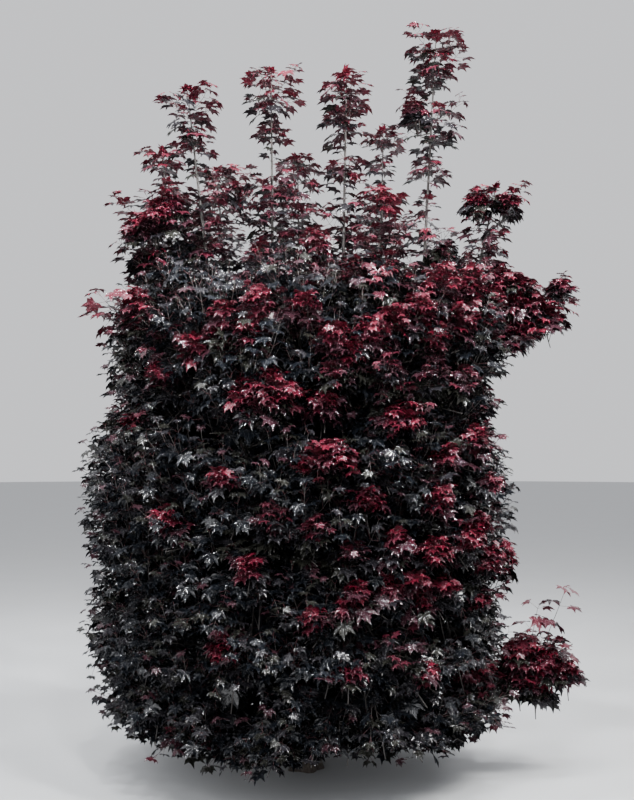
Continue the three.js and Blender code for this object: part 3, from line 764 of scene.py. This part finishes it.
    def layer(self, masses, mass, seed, offered, share, caps):
        """One layer of a mass's sprays, by the rule of its twigs: one above the other, each
        moved sideways by a golden share of the cell's width, then outwards to the surface."""
        space = mass.spaces[0]
        spin = next(seeded(seed))
        inner = share < 1
        for i in range(offered):
            level = (2 * i + 1) / offered - 1
            spread = 2 * ((spin + i * GOLDEN_SHARE) % 1) - 1
            turn = space.bearing + BEARING_SPAN * spread
            way = crown_way(turn).normalized()
            axis = mass.axis + UP * level * space.half[2]
            reach = (space.middle.xy - axis.xy).length
            start = axis + way * reach * math.cos(turn - space.bearing)
            surface = axis + way * (reach + MASS_HALF_DEPTH * 0.8)
            if space.fill(start) < 1:
                surface = start + way * space.way_out(start, way)
            if cell_of(masses, surface) is not mass:
                continue
            if surface.z > OPEN_HEIGHT and (inner or self.between(0, 1) > OPEN_SHARE):
                continue
            sink = SPRAY_SINK + (surface - axis).length * (1 - share) + self.between(*UNEVEN)
            centre = surface - way * sink
            centre.z = max(centre.z, LOWEST_SPRAY)
            if not inner and any((centre - cap).length < CAP_CLEARING for cap in caps):
                continue
            flush = 0.0 if inner else self.flush_at(centre, way)
            drop = 0
            if flush > FULL_FLUSH:
                self.cap(mass, centre + UP * CAP_SINK, way, self.between(*CHANCE_CAPS), flush)
                drop = CAP_SPRAY_DROP
            radius = SPRAY_RADIUS * self.between(*SPRAY_SIZES)
            self.spray(mass, centre - UP * drop, way, radius, min(flush, PART_FLUSH),
                       inner=inner)

    def close_gaps(self, masses, share, rows, steps, size):
        """Puts a spray wherever the rule left a hole in a layer of the crown's side."""
        inner = share < 1
        for row in range(rows):
            height = mix(*GAP_HEIGHTS, row / (rows - 1))
            for step in range(steps):
                turn = (step + row * GOLDEN_SHARE) * math.tau / steps
                way = crown_way(turn).normalized()
                axis = Vector((GAP_AXIS, 0, height))
                reaches = []
                for mass in masses:
                    if not mass.dense or mass.name == "centre_mass":
                        continue
                    space = mass.spaces[0]
                    near = (space.middle.xy - axis.xy).dot(way.xy)
                    if near > 0 and space.fill(axis + way * near) < 1:
                        reaches.append(near + space.way_out(axis + way * near, way))
                reach = max(reaches) if reaches else GAP_REACH
                centre = axis + way * (reach * share - SPRAY_SINK - self.between(*UNEVEN))
                if any((centre - other).length < size for other in self.middles[inner]):
                    continue
                flush = 0.0 if inner else self.flush_at(centre, way) * GAP_FLUSH_SHARE
                self.spray(cell_of(masses, centre), centre, way, SPRAY_RADIUS, flush,
                           inner=inner)

    def top(self, masses):
        """The sprays that close the crown's top."""
        upper = [mass for mass in masses if mass.dense and not mass.name.startswith("lower")]
        for i in range(TOP_SPRAYS):
            reach = TOP_RADIUS * math.sqrt((i + 0.5) / TOP_SPRAYS)
            turn = i * GOLDEN_TURN
            out = crown_way(turn)
            start = out * reach + UP * TOP_START
            heights = [mass.spaces[0].way_out(start, UP) for mass in upper
                       if mass.spaces[0].fill(start) < 1]
            if not heights:
                continue
            centre = start + UP * (max(heights) - TOP_DROP)
            flush = self.flush_at(centre, UP)
            radius = SPRAY_RADIUS * self.between(*TOP_SPRAY_SIZES)
            self.spray(cell_of(masses, centre), centre, out.normalized(), radius, flush)

    def flush_at(self, place, way):
        """How much a spray is in flush: more often high up and on the right, and only dusky
        where the viewer looks, because the caps there are placed one by one."""
        anywhere, top, right_side = FLUSH_CHANCES
        high = clamped((place.z - FLUSH_TOP[0]) / FLUSH_TOP[1])
        right = clamped((place.x - FLUSH_RIGHT[0]) / FLUSH_RIGHT[1])
        chance = anywhere + top * high * mix(0.5, 1, right) + right_side * right
        draw = self.between(0, 1)
        if way.y < VIEWER_SIDE:
            return DULL_FLUSH if draw < chance * 0.7 else 0.0
        return CAP_FLUSH if draw < chance else PART_FLUSH if draw < chance * 1.8 else 0.0

    def leader(self, mass, first_flush):
        """A leader's whorls: crosswise pairs of leaves and short side shoots up the stem."""
        stem = mass.stem
        self.roll, self.level, self.leaf_share = LEADER_ROLL, LEADER_LEVEL, LEADER_LEAF_SHARE
        spin = self.between(0, math.pi)
        upright = stem.heading(1).z > ARM_STEEPNESS
        highest = HIGHEST_NODE if upright else HIGHEST_ARM_NODE
        for number, space in enumerate(mass.spaces):
            shares = [i / 100 for i in range(101) if space.fill(stem.at(i / 100)) < WHORL_CORE]
            first, last = shares[0], min(shares[-1], highest)
            depth = (last - first) * stem.length
            nodes = max(4, round(depth / (LOWER_NODE_SPACING if number else NODE_SPACING)))
            reach = space.half[0]
            # The top whorl is at full flush, which deals out the brightest red with its painted
            # glow
            flush = first_flush if number == 0 else 0.5 * first_flush
            for node in range(nodes):
                up = node / (nodes - 1)
                share = mix(first, last, up)
                root, tangent = stem.at(share), stem.heading(share)
                wide = 1 - 0.75 * ((up - WIDEST_NODE) / 0.68) ** 2
                pair = int((1 - up) * 3.4)
                for opposite in (0, math.pi):
                    turn = spin + node * math.pi / 2 + opposite + self.between(-0.35, 0.35)
                    away = around(tangent, turn)
                    outward = over_ground(away)
                    self.leaf(root, away, tangent, outward, 0.8 - up * 0.5,
                              self.shade(flush, pair))
                    length = (reach - SIDE_SHOOT_ROOM) * wide * self.between(0.7, 1.15)
                    if length > SHORT_SIDE_SHOOT and up < 0.97:
                        end = root + away * length * 0.9
                        end += tangent * length * (0.45 + 0.5 * up ** 3)
                        line = Curve(root, root + away * length * 0.6, end, steps=6)
                        right = up + 0.25 * away.x
                        side_flush = flush if right > 0.28 else min(flush, DULL_FLUSH)
                        pairs = PAIR_SHARES if length > LONG_SIDE_SHOOT else PAIR_SHARES[:3]
                        self.shoot(line, SIDE_SHOOT_RADII, outward, pairs, side_flush,
                                   top_age=SIDE_SHOOT_AGE)
            for k in range(2):
                share = first - (k + 1) * 0.06 / stem.length
                if share < 0.1:
                    break
                for opposite in (0, math.pi):
                    away = around(stem.heading(share), spin + k * math.pi / 2 + opposite)
                    self.leaf(stem.at(share), away, stem.heading(share), over_ground(away), 0.5,
                              self.shade(DULL_FLUSH, 2))
        tip, tangent = stem.at(0.995), stem.heading(1)
        for k in range(TIP_LEAVES if upright else 0):
            away = around(tangent, spin + k * math.tau / TIP_LEAVES)
            self.leaf(tip, away, tangent, over_ground(away), 0.3, self.shade(first_flush, 0),
                      lift=math.radians(12 + 10 * k))
        self.roll, self.level, self.leaf_share = ROLL, 0.0, 1.0


GROWN = {}


def grown():
    """The whole tree's growth, worked out once."""
    if GROWN:
        return GROWN["masses"], GROWN["growth"]
    sizes = bpy.context.scene.maple_sizes
    masses = [leader_plan(*row) for row in LEADERS]
    masses += [body_plan(tier, i) for tier in TIERS for i in range(len(tier[-1]))]
    masses.append(centre_plan(sizes))
    give_cells(masses)
    growth = Growth(sizes)
    caps = []
    for *place, half_width in CAPS:
        place = Vector(place)
        out = over_ground(place)
        if half_width > WIDE_CAP:
            caps.append(place - UP * CAP_SINK - out * CAP_INSET)
        growth.cap(cell_of(masses, place - out * 0.1), place, out, half_width, CAP_FLUSH)
    for limb, rows in LIMB_CAPS.items():
        mass = next(mass for mass in masses if mass.name == limb)
        for *place, half_width, flush in rows:
            place = Vector(place)
            out = over_ground(place - mass.stem.at(0.4))
            growth.cap(mass, place, out, half_width, flush)
    for foot, tip in FREE_SHOOTS:
        foot, tip = Vector(foot), Vector(tip)
        line = Curve(foot, foot.lerp(tip, 0.5) - UP * FREE_SAG, tip, steps=8)
        growth.shoot(line, FREE_RADII, over_ground(tip), FREE_PAIR_SHARES, CAP_FLUSH,
                     top_age=FREE_AGE)
    for i, mass in enumerate(masses):
        growth.stems["body" if mass.dense else "leaders"].append(
            (mass.stem.spaced(12), mass.radii))
        if not mass.dense:
            growth.leader(mass, 1.0)
        elif mass.name != "centre_mass":
            growth.layer(masses, mass, 1000 + i, OUTER_SPRAYS, 1.0, caps)
            growth.layer(masses, mass, 2000 + i, INNER_SPRAYS, INNER_SHARE, caps)
    growth.close_gaps(masses, 1.0, *OUTER_GAPS)
    growth.close_gaps(masses, INNER_SHARE, *INNER_GAPS)
    growth.close_gaps(masses, CORE_SHARE, *CORE_GAPS)
    growth.top(masses)
    GROWN.update(masses=masses, growth=growth)
    return masses, growth


# ---- Meshes from arrays, for the many small things ----


def triangle_mesh(name, points, triangles, uvs=None):
    """An object from arrays of points and triangles."""
    mesh = bpy.data.meshes.new(name)
    mesh.vertices.add(len(points))
    mesh.vertices.foreach_set("co", np.asarray(points, dtype=np.float32).ravel())
    corners = np.asarray(triangles, dtype=np.int32)
    mesh.loops.add(corners.size)
    mesh.loops.foreach_set("vertex_index", corners.ravel())
    mesh.polygons.add(len(corners))
    mesh.polygons.foreach_set("loop_start", np.arange(0, corners.size, 3, dtype=np.int32))
    if uvs is not None:
        layer = mesh.uv_layers.new(name="leaf")
        uvs = np.asarray(uvs, dtype=np.float32)
        layer.data.foreach_set("uv", uvs[corners.ravel()].ravel())
    mesh.update(calc_edges=True)
    mesh.validate()
    return show(name, mesh)


def show(name, mesh):
    """A mesh's object, linked to the scene."""
    thing = bpy.data.objects.new(name, mesh)
    bpy.context.scene.collection.objects.link(thing)
    return thing


def tubes(paths, radii, sides, closed=True):
    """Points and triangles of tapering tubes along paths of equally many points."""
    paths = np.array([[tuple(point) for point in path] for path in paths])
    radii = np.array(radii)
    count, rings = paths.shape[:2]
    ways = np.gradient(paths, axis=1)
    ways /= np.linalg.norm(ways, axis=2, keepdims=True)
    overall = paths[:, -1:] - paths[:, :1]
    spans = np.linalg.norm(overall, axis=2, keepdims=True)
    guide = np.where(np.abs(overall[..., 2:]) > STEEP * spans, (1.0, 0.0, 0.0),
                     (0.0, 0.0, 1.0))
    first = np.cross(ways, np.broadcast_to(guide, ways.shape))
    first /= np.linalg.norm(first, axis=2, keepdims=True)
    second = np.cross(ways, first)
    share = np.linspace(0, 1, rings)
    radius = radii[:, :1] + (radii[:, 1:] - radii[:, :1]) * share
    turn = (np.arange(sides) * math.tau / sides)[:, None]
    ring = first[:, :, None] * np.cos(turn) + second[:, :, None] * np.sin(turn)
    points = paths[:, :, None] + ring * radius[:, :, None, None]
    j, k = np.meshgrid(np.arange(rings - 1), np.arange(sides), indexing="ij")
    after = (k + 1) % sides
    a, b, c, d = j * sides + k, j * sides + after, (j + 1) * sides + after, (j + 1) * sides + k
    walls = np.concatenate([np.stack([a, b, c], -1).reshape(-1, 3),
                            np.stack([a, c, d], -1).reshape(-1, 3)])
    fan = np.arange(1, sides - 1)
    zero = np.zeros_like(fan)
    near = np.stack([zero, fan + 1, fan], -1)
    far = np.stack([zero, fan, fan + 1], -1) + (rings - 1) * sides
    one = np.concatenate([walls, near, far]) if closed else walls
    starts = np.arange(count) * rings * sides
    return points.reshape(-1, 3), (one[None] + starts[:, None, None]).reshape(-1, 3)


def leaf_template(inner):
    """The leaf in its own plane: along, across, fold and triangles from the stalk's end."""
    outline, tips, notches = LEAF_OUTLINE, LOBE_TIPS, NOTCHES
    if inner:
        outline, tips, notches = INNER_OUTLINE, INNER_LOBE_TIPS, INNER_NOTCHES
    half = [(math.radians(turn), reach) for turn, reach in outline]
    lift = [0.0 if i in tips else FOLD * (NOTCH_FOLD_SHARE if i in notches else 1)
            for i in range(len(half))]
    rows = [(0.0, 0.0, 0.0)]
    for sign, order in ((-1, range(len(half) - 1, 0, -1)), (1, range(len(half)))):
        for i in order:
            turn, reach = half[i]
            rows.append((reach * math.cos(turn), sign * reach * math.sin(turn),
                         lift[i] * reach))
    rim = len(rows) - 1
    return np.array(rows), np.array([(0, i + 1, i + 2) for i in range(rim - 1)])


def leaf_mesh(name, leaves, inner):
    """All leaves of one colour, each a few faces in its own outline."""
    rows, triangles = leaf_template(inner)
    tip = np.array([tuple(leaf.tip) for leaf in leaves])[:, None]
    along = np.array([tuple(leaf.along) for leaf in leaves])[:, None]
    side = np.array([tuple(leaf.side) for leaf in leaves])[:, None]
    length = np.array([leaf.length for leaf in leaves])[:, None, None]
    droop = np.array([leaf.droop for leaf in leaves])[:, None]
    fold = 0.5 + 2.2 * droop
    over = np.cross(along, side)
    reach = np.hypot(rows[:, 0], rows[:, 1])
    height = rows[:, 2] * fold - droop * reach ** 2
    points = tip + length * (rows[:, 0, None] * along + rows[:, 1, None] * side
                             + height[:, :, None] * over)
    starts = np.arange(len(leaves)) * len(rows)
    faces = (triangles[None] + starts[:, None, None]).reshape(-1, 3)
    uvs = np.tile(rows[:, :2], (len(leaves), 1))
    return triangle_mesh(name, points.reshape(-1, 3), faces, uvs)


# ---- Bark, shaped with mesh operators ----


def bark_limb(shape, centre_at, radius_at, sides, rings):
    """Adds a closed limb to a bmesh: a cone cut into rings that are moved to their places."""
    limb = bmesh.new()
    bmesh.ops.create_cone(limb, cap_ends=True, cap_tris=False, segments=sides, radius1=1,
                          radius2=1, depth=1)
    upright = [edge for edge in limb.edges
               if abs(edge.verts[0].co.z - edge.verts[1].co.z) > 0.5]
    bmesh.ops.subdivide_edges(limb, edges=upright, cuts=rings - 1)
    for vert in limb.verts:
        share = vert.co.z + 0.5
        turn = math.atan2(vert.co.y, vert.co.x)
        middle, side, over = centre_at(share)
        radius = radius_at(share, turn)
        vert.co = middle + (side * math.cos(turn) + over * math.sin(turn)) * radius
    mesh = bpy.data.meshes.new("limb")
    limb.to_mesh(mesh)
    limb.free()
    shape.from_mesh(mesh)
    bpy.data.meshes.remove(mesh)


def furrows(place, relief):
    """How far the bark stands out: long furrows up the limb, and a finer grain."""
    long = noise.fractal(Vector((place.x * 60, place.y * 60, place.z * 9)), 0.9, 2.1, 4)
    knots = noise.noise(place * 22)
    return relief * (0.8 * long + 0.5 * knots)


def finish_bark(name, shape, nodes):
    """Makes the bark's piece from a bmesh."""
    bmesh.ops.recalc_face_normals(shape, faces=shape.faces)
    mesh = bpy.data.meshes.new(name)
    shape.to_mesh(mesh)
    shape.free()
    for polygon in mesh.polygons:
        polygon.use_smooth = len(polygon.vertices) < 5
    piece = show(name, mesh)
    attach(piece, "root")
    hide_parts(*nodes)
    piece.data.materials.append(bark_material())
    return piece


# ---- Materials ----


def operation(kind, reflected=False):
    """A method of Number that puts a Math node on it and another value."""
    def method(self, other):
        return self.maths(kind, *((other, self) if reflected else (self, other)))

    return method


class Number:
    """A number socket that takes part in Python expressions."""

    def __init__(self, graph, socket):
        self.graph = graph
        self.socket = socket

    def maths(self, operation, *values):
        """A Math node on some values."""
        node = self.graph.add("ShaderNodeMath", {"operation": operation},
                              dict(enumerate(values)))
        return Number(self.graph, node.outputs[0])

    __add__ = __radd__ = operation("ADD")
    __sub__ = operation("SUBTRACT")
    __rsub__ = operation("SUBTRACT", reflected=True)
    __mul__ = __rmul__ = operation("MULTIPLY")
    least = operation("MINIMUM")
    power = operation("POWER")

    def __abs__(self):
        return self.maths("ABSOLUTE", self)

    def range(self, low, high, start=0.0, end=1.0):
        """This number's range mapped smoothly onto another."""
        node = self.graph.add("ShaderNodeMapRange", {"interpolation_type": "SMOOTHSTEP"},
                              {"Value": self, "From Min": low, "From Max": high,
                               "To Min": start, "To Max": end})
        return Number(self.graph, node.outputs[0])


class Graph:
    """The nodes of one material."""

    def __init__(self, name):
        self.material = bpy.data.materials.new(name)
        self.material.use_nodes = True
        self.tree = self.material.node_tree
        self.shader = self.tree.nodes["Principled BSDF"]

    def add(self, kind, settings=None, values=None):
        """One node: its settings first, then the values or links of its sockets."""
        node = self.tree.nodes.new(kind)
        for name, setting in (settings or {}).items():
            setattr(node, name, setting)
        self.fill(node, values or {})
        return node

    def fill(self, node, values):
        """Values or links for a node's sockets."""
        for name, value in values.items():
            socket = node.inputs[name]
            if isinstance(value, Number):
                value = value.socket
            if isinstance(value, bpy.types.NodeSocket):
                self.tree.links.new(value, socket)
            else:
                socket.default_value = value

    def noise(self, scale, detail=2.0, stretch=None, rough=0.5):
        """Noise on the object's own coordinates."""
        place = self.add("ShaderNodeTexCoord").outputs["Object"]
        if stretch:
            place = self.add("ShaderNodeMapping", None, {"Vector": place, "Scale": stretch})
            place = place.outputs[0]
        node = self.add("ShaderNodeTexNoise", None, {"Vector": place, "Scale": scale,
                                                     "Detail": detail, "Roughness": rough})
        return Number(self, node.outputs[0])

    def blend(self, share, first, second):
        """A colour between two."""
        node = self.add("ShaderNodeMix", {"data_type": "RGBA"},
                        {"Factor": share, 6: first, 7: second})
        return node.outputs[2]

    def bump(self, height, distance, strength=1.0):
        """Bump that feeds the shader's normal."""
        node = self.add("ShaderNodeBump", None, {"Height": height, "Distance": distance,
                                                 "Strength": strength})
        self.fill(self.shader, {"Normal": node.outputs[0]})

    def finish(self, **values):
        """Sets the shader's sockets and hands the material over."""
        self.fill(self.shader, {name.replace("_", " ").title(): value
                                for name, value in values.items()})
        return self.material


def opaque(colour, factor=1.0):
    """A colour with its alpha, made lighter or darker."""
    return (*[min(1.0, channel * factor) for channel in colour], 1.0)


def bark_material():
    """Grey-brown bark with darker furrows up the limb, pale pores and a foot that grows darker
    towards the ground.
    """
    if "furrowed_bark" in bpy.data.materials:
        return bpy.data.materials["furrowed_bark"]
    colours = bpy.context.scene.maple_colours
    graph = Graph("furrowed_bark")
    furrow = graph.noise(26, 6, (3.2, 3.2, 0.45), 0.62).range(0.36, 0.62)
    patch = graph.noise(5, 3).range(0.3, 0.7)
    pore = graph.noise(150, 2, (1, 1, 2.6)).range(0.64, 0.72)
    ground = graph.blend(furrow, opaque(colours.furrow), opaque(colours.bark))
    ground = graph.blend(patch * 0.4, ground, opaque(colours.bark, 1.5))
    ground = graph.blend(pore * 0.5, ground, opaque(colours.bark, 1.9))
    place = graph.add("ShaderNodeTexCoord").outputs["Object"]
    height = Number(graph, graph.add("ShaderNodeSeparateXYZ", None, {0: place}).outputs[2])
    # The bark grows darker towards the ground
    foot = (height + patch * 0.12).range(0.02, 0.55, 0.85, 0.0)
    ground = graph.blend(foot, ground, opaque(colours.furrow, 0.7))
    graph.bump(furrow + pore * 0.4, 0.004)
    return graph.finish(base_color=ground, roughness=furrow.range(0, 1, 0.95, 0.78))


def twig_material(name, colour, roughness):
    """Smooth young bark: a plain colour with pores and a slight unevenness."""
    graph = Graph(name)
    streak = graph.noise(40, 3, (1, 1, 0.3)).range(0.3, 0.7)
    pore = graph.noise(330, 1).range(0.66, 0.74)
    ground = graph.blend(streak, opaque(colour, 0.65), opaque(colour, 1.35))
    ground = graph.blend(pore * 0.6, ground, opaque(colour, 2.6))
    graph.bump(streak + pore, 0.0006)
    return graph.finish(base_color=ground,
                        roughness=streak.range(0, 1, roughness, roughness + 0.2))


def leaf_material(name, colour, young):
    """A leaf with veins that run from the stalk into the lobes: a grown one has a hard gloss on
    a dark blade, a young one a softer and redder gloss."""
    graph = Graph(f"leaf_{name}")
    place = graph.add("ShaderNodeUVMap", {"uv_map": "leaf"}).outputs[0]
    parts = graph.add("ShaderNodeSeparateXYZ", None, {0: place}).outputs
    along, across = Number(graph, parts[0]), abs(Number(graph, parts[1]))
    turn = across.maths("ARCTAN2", across, along)
    off = abs(turn - VEIN_TURNS[0])
    for vein in VEIN_TURNS[1:]:
        off = off.least(abs(turn - vein))
    reach = (along * along + across * across).power(0.5)
    vein = (off * reach).range(0.004, 0.03, 1.0, 0.0)
    mottle = graph.noise(7, 2).range(0.3, 0.7)
    pucker = graph.noise(50, 2).range(0.3, 0.7)
    ground = graph.blend(mottle, opaque(colour, 0.75), opaque(colour, 1.25))
    ground = graph.blend(pucker * 0.3, ground, opaque(colour, 0.6))
    ground = graph.blend(vein * 0.4, ground, opaque([c + 0.02 for c in colour], 1.4))
    graph.bump(pucker - vein * 0.2, 0.005)
    level, tint, coat, least = YOUNG_GLOSS if young else GROWN_GLOSS
    graph.fill(graph.shader, {"IOR": 1.6, "Specular IOR Level": level, "Specular Tint": tint,
                              "Coat Weight": coat, "Coat Roughness": 0.08, "Coat IOR": 1.7})
    return graph.finish(base_color=ground, roughness=mottle.range(0, 1, least, least + 0.08))


def floor_material():
    """Plain pale floor with a barely seen mottle."""
    colour = bpy.context.scene.maple_colours.floor
    graph = Graph("floor")
    mottle = graph.noise(1.5, 4).range(0.3, 0.7)
    return graph.finish(base_color=graph.blend(mottle, opaque(colour, 0.97), opaque(colour)),
                        roughness=mottle.range(0, 1, 0.85, 0.92))


# ---- Operators ----


class MAPLE_OT_stage(bpy.types.Operator):
    """Camera, floor and light"""
    bl_idname = "maple.stage"
    bl_label = "Set the stage"

    def execute(self, context):
        camera = bpy.data.objects.new("camera", bpy.data.cameras.new("camera"))
        camera.data.lens = CAMERA_LENS
        camera.data.sensor_width = 36
        camera.data.clip_end = 200
        camera.location = CAMERA_PLACE
        camera.rotation_euler = (CAMERA_TILT, 0, 0)
        context.scene.collection.objects.link(camera)
        context.scene.camera = camera
        shape = bmesh.new()
        bmesh.ops.create_circle(shape, cap_ends=True, segments=64, radius=60)
        mesh = bpy.data.meshes.new("floor")
        shape.to_mesh(mesh)
        shape.free()
        floor = show("floor", mesh)
        floor.data.materials.append(floor_material())
        for row in LIGHTS:
            self.light(*row)
        for elevation, count in LAMP_ROWS:
            for k in range(count):
                share = (k + 0.5) / count
                turn = math.radians(mix(*LAMP_SPREAD, share) - 90)
                flat = LAMP_DISTANCE * math.cos(math.radians(elevation))
                place = (flat * math.cos(turn), flat * math.sin(turn),
                         AIM + LAMP_DISTANCE * math.sin(math.radians(elevation)))
                self.light(f"lamp_{elevation}_{k + 1}", place, LAMP_SIZE,
                           mix(*LAMP_POWER, share), COOL, LAMP_AIM, LAMP_BEAM)
        world = bpy.data.worlds.new("studio")
        world.use_nodes = True
        background = world.node_tree.nodes["Background"]
        background.inputs["Color"].default_value = WORLD_COLOUR
        background.inputs["Strength"].default_value = 1.0
        context.scene.world = world
        return {"FINISHED"}

    def light(self, name, place, size, power, colour, aim=AIM, beam=math.pi):
        """A square soft light that looks at a height of the tree's axis."""
        lamp = bpy.data.lights.new(name, "AREA")
        lamp.size = size
        lamp.energy = power
        lamp.color = colour
        lamp.spread = beam
        thing = bpy.data.objects.new(name, lamp)
        thing.location = place
        way = Vector((0, 0, aim)) - Vector(place)
        thing.rotation_euler = way.to_track_quat("-Z", "Y").to_euler()
        bpy.context.scene.collection.objects.link(thing)


class MAPLE_OT_trunk(bpy.types.Operator):
    """The trunk with its root flare and the relief of its bark"""
    bl_idname = "maple.trunk"
    bl_label = "Grow the trunk"

    def execute(self, context):
        sizes = context.scene.maple_sizes

        def centre_at(share):
            middle = trunk_point(TRUNK_HEIGHT * share ** FLARE_CROWDING)
            return middle, Vector((1, 0, 0)), Vector((0, 1, 0))

        def radius_at(share, turn):
            up = share ** FLARE_CROWDING
            flare = sizes.flare_radius * math.exp(-up * TRUNK_HEIGHT / sizes.flare_height)
            radius = mix(sizes.foot_radius, sizes.tip_radius, up)
            radius += flare * (1 + FLARE_LOBE_SHARE * math.cos(FLARE_LOBES * turn))
            place = Vector((math.cos(turn) * radius, math.sin(turn) * radius,
                            up * TRUNK_HEIGHT))
            return radius - sizes.bark_relief + furrows(place, sizes.bark_relief)

        shape = bmesh.new()
        bark_limb(shape, centre_at, radius_at, *TRUNK_MESH)
        finish_bark("trunk_bark", shape, ["trunk"])
        return {"FINISHED"}


class MAPLE_OT_boughs(bpy.types.Operator):
    """The boughs, from their forks to where they enter their masses"""
    bl_idname = "maple.boughs"
    bl_label = "Grow the boughs"

    def execute(self, context):
        relief = context.scene.maple_sizes.bark_relief * 0.5
        shape = bmesh.new()
        for mass in grown()[0]:
            if not mass.bough:
                continue

            def centre_at(share, line=mass.bough):
                way = line.heading(share)
                side = way.cross(UP).normalized()
                return line.at(share), side, side.cross(way)

            def radius_at(share, turn, line=mass.bough):
                place = line.at(share) + Vector((math.cos(turn), math.sin(turn), 0)) * 0.02
                return mix(*BOUGH_RADII, share) - relief + furrows(place, relief)

            bark_limb(shape, centre_at, radius_at, *BOUGH_MESH)
        finish_bark("bough_bark", shape, BOUGH_NODES)
        return {"FINISHED"}


class MAPLE_OT_twigs(bpy.types.Operator):
    """The stems of the masses, their twigs and shoots, and the stalks of the leaves"""
    bl_idname = "maple.twigs"
    bl_label = "Grow the twigs"

    def execute(self, context):
        growth = grown()[1]
        colours = context.scene.maple_colours
        stem = twig_material("stem_bark", colours.twig, 0.6)
        twig = twig_material("twig_bark", [c * 1.5 for c in colours.twig], 0.55)
        young = twig_material("shoot_bark", [c * 1.3 for c in colours.twig], 0.45)
        stalk = twig_material("stalk_skin", colours.stalk, 0.4)
        stalks = [((leaf.foot, leaf.tip), STALK_RADII) for leaf in growth.leaves]
        half = len(stalks) // 2
        groups = (
            ("body_stems", growth.stems["body"], 8, stem, DENSE_NODES),
            ("leader_stems", growth.stems["leaders"], 8, stem, OPEN_NODES),
            ("twigs", growth.twigs, 4, twig, ()),
            ("shoots", growth.shoots, 3, young, ()),
            ("leaf_stalks_1", stalks[:half], 3, stalk, ()),
            ("leaf_stalks_2", stalks[half:], 3, stalk, ()),
        )
        for name, limbs, sides, material, nodes in groups:
            paths, radii = zip(*limbs)
            points, faces = tubes(paths, radii, sides, closed="stalks" not in name)
            piece = triangle_mesh(name, points, faces)
            piece.data.polygons.foreach_set("use_smooth", [True] * len(piece.data.polygons))
            piece.data.materials.append(material)
            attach(piece, "root")
            if nodes:
                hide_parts(*nodes)
        return {"FINISHED"}


class MAPLE_OT_leaves(bpy.types.Operator):
    """The leaves, joined by colour"""
    bl_idname = "maple.leaves"
    bl_label = "Grow the leaves"

    def execute(self, context):
        growth = grown()[1]
        colours = context.scene.maple_colours
        for shade in SHADES:
            young = shade in YOUNG_SHADES
            material = leaf_material(shade, getattr(colours, shade), young)
            for inner in (False, True):
                leaves = [leaf for leaf in growth.leaves
                          if leaf.shade == shade and leaf.inner == inner]
                faces = len(leaf_template(inner)[1])
                parts = math.ceil(len(leaves) * faces / MOST_TRIANGLES)
                for part in range(parts):
                    name = f"{shade}_inner_leaves" if inner else f"{shade}_leaves"
                    name += f"_{part + 1}" if parts > 1 else ""
                    piece = leaf_mesh(name, leaves[part::parts], inner)
                    piece.data.materials.append(material)
                    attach(piece, "root")
                    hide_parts(*(OPEN_NODES if young else DENSE_NODES))
        return {"FINISHED"}


class MAPLE_PT_panel(bpy.types.Panel):
    """The steps, in order"""
    bl_idname = "MAPLE_PT_panel"
    bl_label = "Maple"
    bl_space_type = "VIEW_3D"
    bl_region_type = "UI"
    bl_category = "Maple"

    def draw(self, context):
        for operator in OPERATORS:
            self.layout.operator(operator.bl_idname)
        for group in (context.scene.maple_sizes, context.scene.maple_colours):
            for name in group.__annotations__:
                self.layout.prop(group, name)


OPERATORS = (MAPLE_OT_stage, MAPLE_OT_trunk, MAPLE_OT_boughs, MAPLE_OT_twigs, MAPLE_OT_leaves)
CLASSES = (MapleSizes, MapleColours, *OPERATORS, MAPLE_PT_panel)


def register():
    """Registers the classes and the scene's settings."""
    for cls in CLASSES:
        bpy.utils.register_class(cls)
    bpy.types.Scene.maple_sizes = bpy.props.PointerProperty(type=MapleSizes)
    bpy.types.Scene.maple_colours = bpy.props.PointerProperty(type=MapleColours)


def unregister():
    """Takes them away again."""
    del bpy.types.Scene.maple_sizes
    del bpy.types.Scene.maple_colours
    for cls in reversed(CLASSES):
        bpy.utils.unregister_class(cls)


def main():
    """Runs the steps."""
    register()
    bpy.ops.maple.stage()
    bpy.ops.maple.trunk()
    bpy.ops.maple.boughs()
    bpy.ops.maple.twigs()
    bpy.ops.maple.leaves()


if __name__ == "__main__":
    main()
